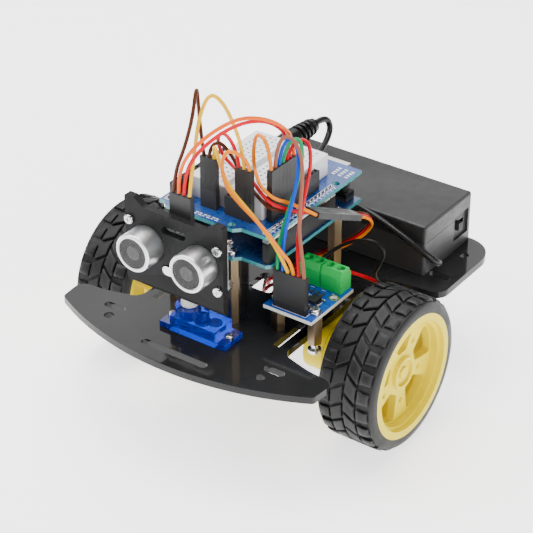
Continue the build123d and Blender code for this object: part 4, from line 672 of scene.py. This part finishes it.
# ---- tyres --------------------------------------------------------------
LUGS = 24
GROOVE = 1.35
HALF = TYRE_W / 2
SHOULDER = 3.4          # width of the rounding at each side of the tread
SHOULDER_R = 28.42      # radius where that rounding meets the sidewall
GROOVE_END = 12.2       # the grooves have run out this far from the middle
GROOVE_RUN_OUT = 1.4
CENTRE_LUGS = (0.45, 5.5)     # from and to, outwards from the middle of the tread
SIDE_LUGS = (6.4, 11.2)


def crown(u):
    """Outer radius of the tyre at u across its width."""
    past = max(0.0, abs(u) - (HALF - SHOULDER)) / SHOULDER
    return SHOULDER_R + (TYRE_R - SHOULDER_R) * math.sqrt(max(0.0, 1 - past * past))


def carcass(u):
    """Bottom of the tread grooves, running out into the plain sidewall."""
    depth = GROOVE * min(1.0, max(0.0, (GROOVE_END - abs(u)) / GROOVE_RUN_OUT))
    return crown(u) - depth


def on_tyre(side, u, turn, radius):
    """Point on a tyre: u across it towards the outside, turn in whole turns."""
    angle = 2 * math.pi * turn
    x = side * (WHEEL_OUT - HALF + u)
    return (x, radius * math.cos(angle), AXLE_Z + radius * math.sin(angle))


def lug(piece, side, corners, inset):
    """Raised block with sheer walls and a softened top edge. corners are (u, turn)."""
    sunk, softened = 0.15, 0.28
    spots = [0.0, 0.0, inset, 0.35, 0.65, 1 - inset, 1.0, 1.0]
    last = len(spots) - 1
    rows = []
    for r, s in enumerate(spots):
        row = []
        for c, t in enumerate(spots):
            weights = ((1 - s) * (1 - t), s * (1 - t), s * t, (1 - s) * t)
            u = sum(w * corner[0] for w, corner in zip(weights, corners))
            turn = sum(w * corner[1] for w, corner in zip(weights, corners))
            level = min(r, c, last - r, last - c)
            if level == 0:
                radius = carcass(u) - sunk
            else:
                radius = crown(u) - (softened if level == 1 else 0.0)
            row.append(on_tyre(side, u, turn, radius))
        rows.append(row)
    piece.grid(rows)


def carcass_band(piece, side):
    """The tyre without its lugs, turned about the axle."""
    bead = RIM_R + 0.02
    columns, around = 52, 192
    across = [-HALF + TYRE_W * i / columns for i in range(columns + 1)]
    section = [(-HALF, bead)] + [(u, carcass(u)) for u in across] + [(HALF, bead)]
    section.append(section[0])
    piece.grid([[on_tyre(side, u, i / around, r) for u, r in section] for i in range(around + 1)])


def tyre(label, side):
    """Tyre with a slanting row of lugs each side of the middle and a straighter row outside it."""
    piece = Piece(label + "_tread")
    carcass_band(piece, side)
    pitch = 1.0 / LUGS
    lean = 0.42 * pitch
    for i in range(LUGS):
        for half in (-1, 1):
            start = (i + (0.5 if half > 0 else 0.0)) * pitch
            inner, outer = (half * u for u in CENTRE_LUGS)
            lug(piece, side, [
                (inner, start), (outer, start + lean),
                (outer, start + lean + 0.8 * pitch), (inner, start + 0.8 * pitch),
            ], 0.06)
            start += lean + 0.1 * pitch
            inner, outer = (half * u for u in SIDE_LUGS)
            lug(piece, side, [
                (inner, start), (outer, start + 0.04 * pitch),
                (outer, start + 0.6 * pitch), (inner, start + 0.64 * pitch),
            ], 0.09)
    obj = piece.finish(MATERIALS["tyre"], label + "_wheel", smooth=True)
    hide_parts(label + "_tyre")


tyre("left", 1)
tyre("right", -1)


# ---- sensor eyes --------------------------------------------------------
def eye_middle(side):
    return PAN_X + side * EYE_DX


def woven_wire(piece, centre, offset, along, pitch, reach, wire, phase):
    """One wire of a square weave, over and under the wires across it."""
    depth = EYE_FRONT + 0.18
    ring = ((-wire, 0.0), (0.0, -wire), (wire, 0.0), (0.0, wire), (-wire, 0.0))
    steps = max(4, int(2 * reach / (pitch / 2)))
    rows = []
    for i in range(steps + 1):
        s = -reach + 2 * reach * i / steps
        y = depth + 0.06 * math.cos(math.pi * (s / pitch + phase))
        row = []
        for aside, forward in ring:
            a, b = (s, offset + aside) if along == 0 else (offset + aside, s)
            row.append((centre + a, y + forward, CAN_Z + b))
        rows.append(row)
    piece.grid(rows)


def woven_disc():
    """Fine woven wire in the mouth of each eye."""
    piece = Piece("eye_mesh")
    pitch, radius, wire = 0.62, 6.42, 0.1
    count = int(radius / pitch)
    for side in (-1, 1):
        for along in (0, 1):
            for k in range(-count, count + 1):
                offset = k * pitch
                reach = math.sqrt(radius * radius - offset * offset)
                woven_wire(piece, eye_middle(side), offset, along, pitch, reach, wire, k + along)
    obj = piece.finish(MATERIALS["mesh"], "sensor_head", smooth=True)
    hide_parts("sensor_grilles")


def eye_rims():
    """Pale rolled lip round the mouth of each eye."""
    piece = Piece("eye_rims")
    steps = 48
    section = ((6.5, 0.0), (6.75, 0.18), (7.2, 0.22), (7.5, 0.0))
    for side in (-1, 1):
        rows = []
        middle = eye_middle(side)
        for i in range(steps + 1):
            angle = 2 * math.pi * i / steps
            c, s = math.cos(angle), math.sin(angle)
            rows.append([(middle + r * c, EYE_FRONT - proud, CAN_Z + r * s) for r, proud in section])
        piece.grid(rows)
    piece.finish(MATERIALS["rim_white"], "sensor_head", smooth=True)


def shaded_eye_backs():
    """Painted shade inside each eye: a near-black sheet stands in for the shadow deep in the can, with the
    sounding disc in its middle.
    """
    dark = Piece("shaded_eye_backs")
    disc = Piece("eye_discs")
    for side in (-1, 1):
        x = eye_middle(side)
        # Near-black sheet behind the mesh: painted shade for the shadowed inside of the eye.
        dark.lathe((x, EYE_FRONT + 1.2, CAN_Z), [(6.45, 0.0), (6.45, 0.05)], "y", 32)
        disc.lathe((x, EYE_FRONT + 0.4, CAN_Z), [(3.0, 0.0), (2.8, 0.05)], "y", 28)
    dark.finish(MATERIALS["eye_painted_shade"], "sensor_head")
    disc.finish(MATERIALS["eye_disc"], "sensor_head")


def header_solder():
    """Four soldered pin ends seen through the slot of the bracket."""
    piece = Piece("header_solder")
    board_face, pin_z = -47.2, 95.5
    cone = [(0.85, 0.0), (0.7, 0.25), (0.35, 0.75), (0.12, 0.95)]
    for i in range(4):
        x = PAN_X + (i - 1.5) * PITCH
        piece.lathe((x, board_face, pin_z), cone, "y", 14)
    piece.finish(MATERIALS["solder"], "sensor_head", smooth=True)


woven_disc()
eye_rims()
shaded_eye_backs()
header_solder()


# ---- circuit board details ---------------------------------------------
DIGITAL_X = 20.7
POWER_X = -27.56
DIGITAL_ROWS = [(-24.7, 8), (-2.86, 10)]     # first pin and number of pins of each header
POWER_ROWS = [(-24.7, 6), (-6.92, 8)]
SPARE_PADS_Y = 30.0
DRIVER_HOLES = ((23.2, -20.6), (41.1, -20.9), (23.2, -7.2), (41.1, -7.4))
DRIVER_PIN_X = [25.4 + i * PITCH for i in range(6)]
TERMINAL_X = (24.54, 29.62, 34.7, 39.78)
RESISTOR_X = (-18.0, -14.0, -10.0, -6.0, -2.0, 2.0)
PRINT_W = 0.2
PRINT_H = 0.04


def shield_solder():
    """Soldered ends of the pins that join the shield to the controller."""
    piece = Piece("shield_solder")
    cone = [(0.95, 0.0), (0.85, 0.12), (0.45, 0.6), (0.3, 1.0)]
    for x, rows in ((DIGITAL_X, DIGITAL_ROWS), (POWER_X, POWER_ROWS)):
        for y0, count in rows:
            for i in range(count):
                piece.lathe((x, y0 + i * PITCH, SHIELD_TOP), cone, steps=12)
    piece.finish(MATERIALS["solder"], "chassis", smooth=True)


def ring_pad(piece, x, y, z, inner, outer):
    """Flat ring of plated copper round a hole."""
    steps, thick = 24, 0.05
    section = ((inner, 0.0), (inner, thick), (outer, thick), (outer, 0.0))
    rows = []
    for i in range(steps + 1):
        angle = 2 * math.pi * i / steps
        c, s = math.cos(angle), math.sin(angle)
        rows.append([(x + r * c, y + r * s, z + h) for r, h in section])
    piece.grid(rows)


def gold_pads():
    """Plated rings of the shield's spare holes and of the driver board's screw holes."""
    piece = Piece("gold_pads")
    for x in (-27.4, -24.8):
        for i in range(3):
            ring_pad(piece, x, SPARE_PADS_Y + i * PITCH, SHIELD_TOP, 0.5, 0.95)
    for x, y in DRIVER_HOLES:
        ring_pad(piece, x, y, DRIVER_TOP, 1.6, 2.3)
    piece.finish(MATERIALS["gold"], "chassis")


def mark(piece, x0, x1, y0, y1, z):
    """One printed bar on a board."""
    piece.box(x0, x1, y0, y1, z, z + PRINT_H)


def outline(piece, x0, x1, y0, y1, z):
    """Printed rectangle on a board."""
    mark(piece, x0, x1, y0, y0 + PRINT_W, z)
    mark(piece, x0, x1, y1 - PRINT_W, y1, z)
    mark(piece, x0, x0 + PRINT_W, y0, y1, z)
    mark(piece, x1 - PRINT_W, x1, y0, y1, z)


def shield_print(piece):
    """Outlines of the shield's headers and parts, and plain bars where a shield has lettering."""
    z = SHIELD_TOP
    margin = 1.3
    for y0, count in DIGITAL_ROWS:
        for i in range(count):
            y = y0 + i * PITCH
            mark(piece, DIGITAL_X + 1.15, DIGITAL_X + 2.2, y - 0.16, y + 0.16, z)
        end = y0 + (count - 1) * PITCH
        outline(piece, DIGITAL_X - 1.4, DIGITAL_X + 1.05, y0 - margin, end + margin, z)
    for y0, count in POWER_ROWS:
        end = y0 + (count - 1) * PITCH
        outline(piece, POWER_X - margin, POWER_X + margin, y0 - margin, end + margin, z)
    outline(piece, -28.8, -23.4, 28.6, 36.5, z)
    outline(piece, -22.8, 14.3, 29.0, 29.25, z)
    for x in RESISTOR_X:
        outline(piece, x - 1.6, x + 1.6, 32.4, 34.8, z)
    for row, y in enumerate((-28.4, -27.2)):
        for i in range(8):
            x = -16.0 + i * 2.0
            mark(piece, x, x + 1.0 + 0.5 * ((i + row) % 2), y, y + 0.45, z)
    for row in range(4):
        for i in range(3):
            x = 14.2 + i * 3.1
            y = 29.6 + row * 1.7
            mark(piece, x, x + 1.6, y, y + 0.8, z)


def driver_print(piece):
    """Outlines and marks beside the pins and terminals of the driver board."""
    z = DRIVER_TOP
    outline(piece, 23.9, 40.0, -26.0, -22.8, z)
    outline(piece, 26.0, 39.2, -17.4, -10.8, z)
    for x in DRIVER_PIN_X:
        mark(piece, x - 0.16, x + 0.16, -22.4, -21.6, z)
    for x in TERMINAL_X:
        mark(piece, x - 0.9, x + 0.9, -5.6, -5.35, z)


def board_print():
    piece = Piece("board_print")
    shield_print(piece)
    driver_print(piece)
    piece.finish(MATERIALS["print"], "chassis")


def chip_part(bodies, ends, x, y, z, length, width, height):
    """Small two-ended part lying along X. Its end caps are a little proud of its body."""
    cap = length * 0.22
    proud = 0.02
    half = width / 2
    bodies.box(x - length / 2 + cap, x + length / 2 - cap, y - half, y + half, z, z + height)
    for start in (x - length / 2, x + length / 2 - cap):
        ends.box(start, start + cap, y - half - proud, y + half + proud, z, z + height + 0.03)


def small_parts():
    """Resistors and capacitors on the shield and round the driver chips."""
    dark = Piece("small_resistors")
    tan = Piece("small_capacitors")
    ends = Piece("small_part_ends")
    for i, x in enumerate(RESISTOR_X):
        bodies = tan if i % 3 == 0 else dark
        chip_part(bodies, ends, x, 33.6, SHIELD_TOP, 2.0, 1.25, 0.55)
    chip_part(tan, ends, -18.3, -26.6, SHIELD_TOP, 2.0, 1.25, 0.7)
    for x in (26.2, 33.0, 39.4):
        chip_part(dark, ends, x, -12.4, DRIVER_TOP, 1.6, 0.8, 0.45)
        chip_part(tan, ends, x, -16.2, DRIVER_TOP, 1.6, 0.8, 0.6)
    dark.finish(MATERIALS["chip"], "chassis")
    tan.finish(MATERIALS["tan"], "chassis")
    ends.finish(MATERIALS["solder"], "chassis")


def plug_contacts():
    """Metal of the crimped contacts in the windows of the black plugs."""
    low, high = 5.6, 8.9        # the window's ends above the foot of a plug
    single_x = (-12.1, -9.56, -7.02, 4.83, 7.37, 9.91)
    singles = [(x, -21.0) for x in single_x] + [(16.35, -15.73 + i * PITCH) for i in range(7)]
    wall = PITCH / 2 - 0.03
    fixed = Piece("plug_contacts")
    for x, y in singles:
        fixed.box(x - wall + 0.14, x - wall + 0.29, y - 0.5, y + 0.5, SOCKET_TOP + low, SOCKET_TOP + high)
    foot = DRIVER_TOP + 2.55
    for x in DRIVER_PIN_X:
        fixed.box(x - 0.5, x + 0.5, -23.44, -23.3, foot + low, foot + high)
    fixed.finish(MATERIALS["contact"], "chassis")
    foot = 96.2
    moving = Piece("sensor_plug_contacts")
    for i in range(4):
        x = PAN_X + (i - 1.5) * PITCH
        moving.box(x - 0.5, x + 0.5, -43.34, -43.2, foot + low, foot + high)
    moving.finish(MATERIALS["contact"], "sensor_head")


def servo_gears():
    """White gears seen through the servo's clear blue case."""
    piece = Piece("servo_gears")
    gears = ((PAN_X, -41.0, 51.6, 4.6), (1.0, -41.0, 50.2, 3.4), (6.2, -39.6, 51.4, 2.8))
    for x, y, z, radius in gears:
        piece.lathe((x, y, z), [(radius, 0.0), (radius, 1.6)], steps=28)
    piece.finish(MATERIALS["nylon"], "chassis")


shield_solder()
gold_pads()
board_print()
small_parts()
plug_contacts()
servo_gears()


# ---- floor and light ----------------------------------------------------
def floor():
    """Pale paper. Its glow keeps it near white and the shadows on it light."""
    half = 6.0
    corners = [(-half, -half, 0), (half, -half, 0), (half, half, 0), (-half, half, 0)]
    mesh = bpy.data.meshes.new("floor")
    mesh.from_pydata(corners, [], [(0, 1, 2, 3)])
    paper = surface(
        "floor", (0.95, 0.95, 0.95), 0.7, grain=300.0, bump=0.01, mottle=0.01, wear=0.0, shine=0.1
    )
    glow = paper.node_tree.nodes["Principled BSDF"]
    glow.inputs["Emission Color"].default_value = (1.0, 1.0, 1.0, 1.0)
    glow.inputs["Emission Strength"].default_value = 1.9
    mesh.materials.append(paper)
    obj = bpy.data.objects.new("floor", mesh)
    bpy.context.scene.collection.objects.link(obj)


def softbox(name, place, aim, size, power):
    data = bpy.data.lights.new(name, "AREA")
    data.shape = "RECTANGLE"
    data.size, data.size_y = size
    data.energy = power
    lamp = bpy.data.objects.new(name, data)
    lamp.location = place
    lamp.rotation_euler = (Vector(aim) - Vector(place)).to_track_quat("-Z", "Y").to_euler()
    bpy.context.scene.collection.objects.link(lamp)


def studio():
    middle = (0.0, 0.0, 0.06)
    softbox("top", (-0.15, 0.1, 1.3), middle, (1.0, 1.0), 26.0)
    softbox("key", (-0.75, -0.45, 0.8), middle, (0.6, 0.6), 10.0)
    softbox("fill", (1.0, -0.35, 0.55), middle, (0.7, 0.5), 8.0)
    softbox("back", (-0.6, 0.95, 1.1), middle, (1.3, 1.0), 10.0)
    world = bpy.data.worlds.new("studio")
    world.use_nodes = True
    background = world.node_tree.nodes["Background"]
    background.inputs["Color"].default_value = (1.0, 1.0, 1.0, 1.0)
    background.inputs["Strength"].default_value = 0.12
    bpy.context.scene.world = world


floor()
studio()
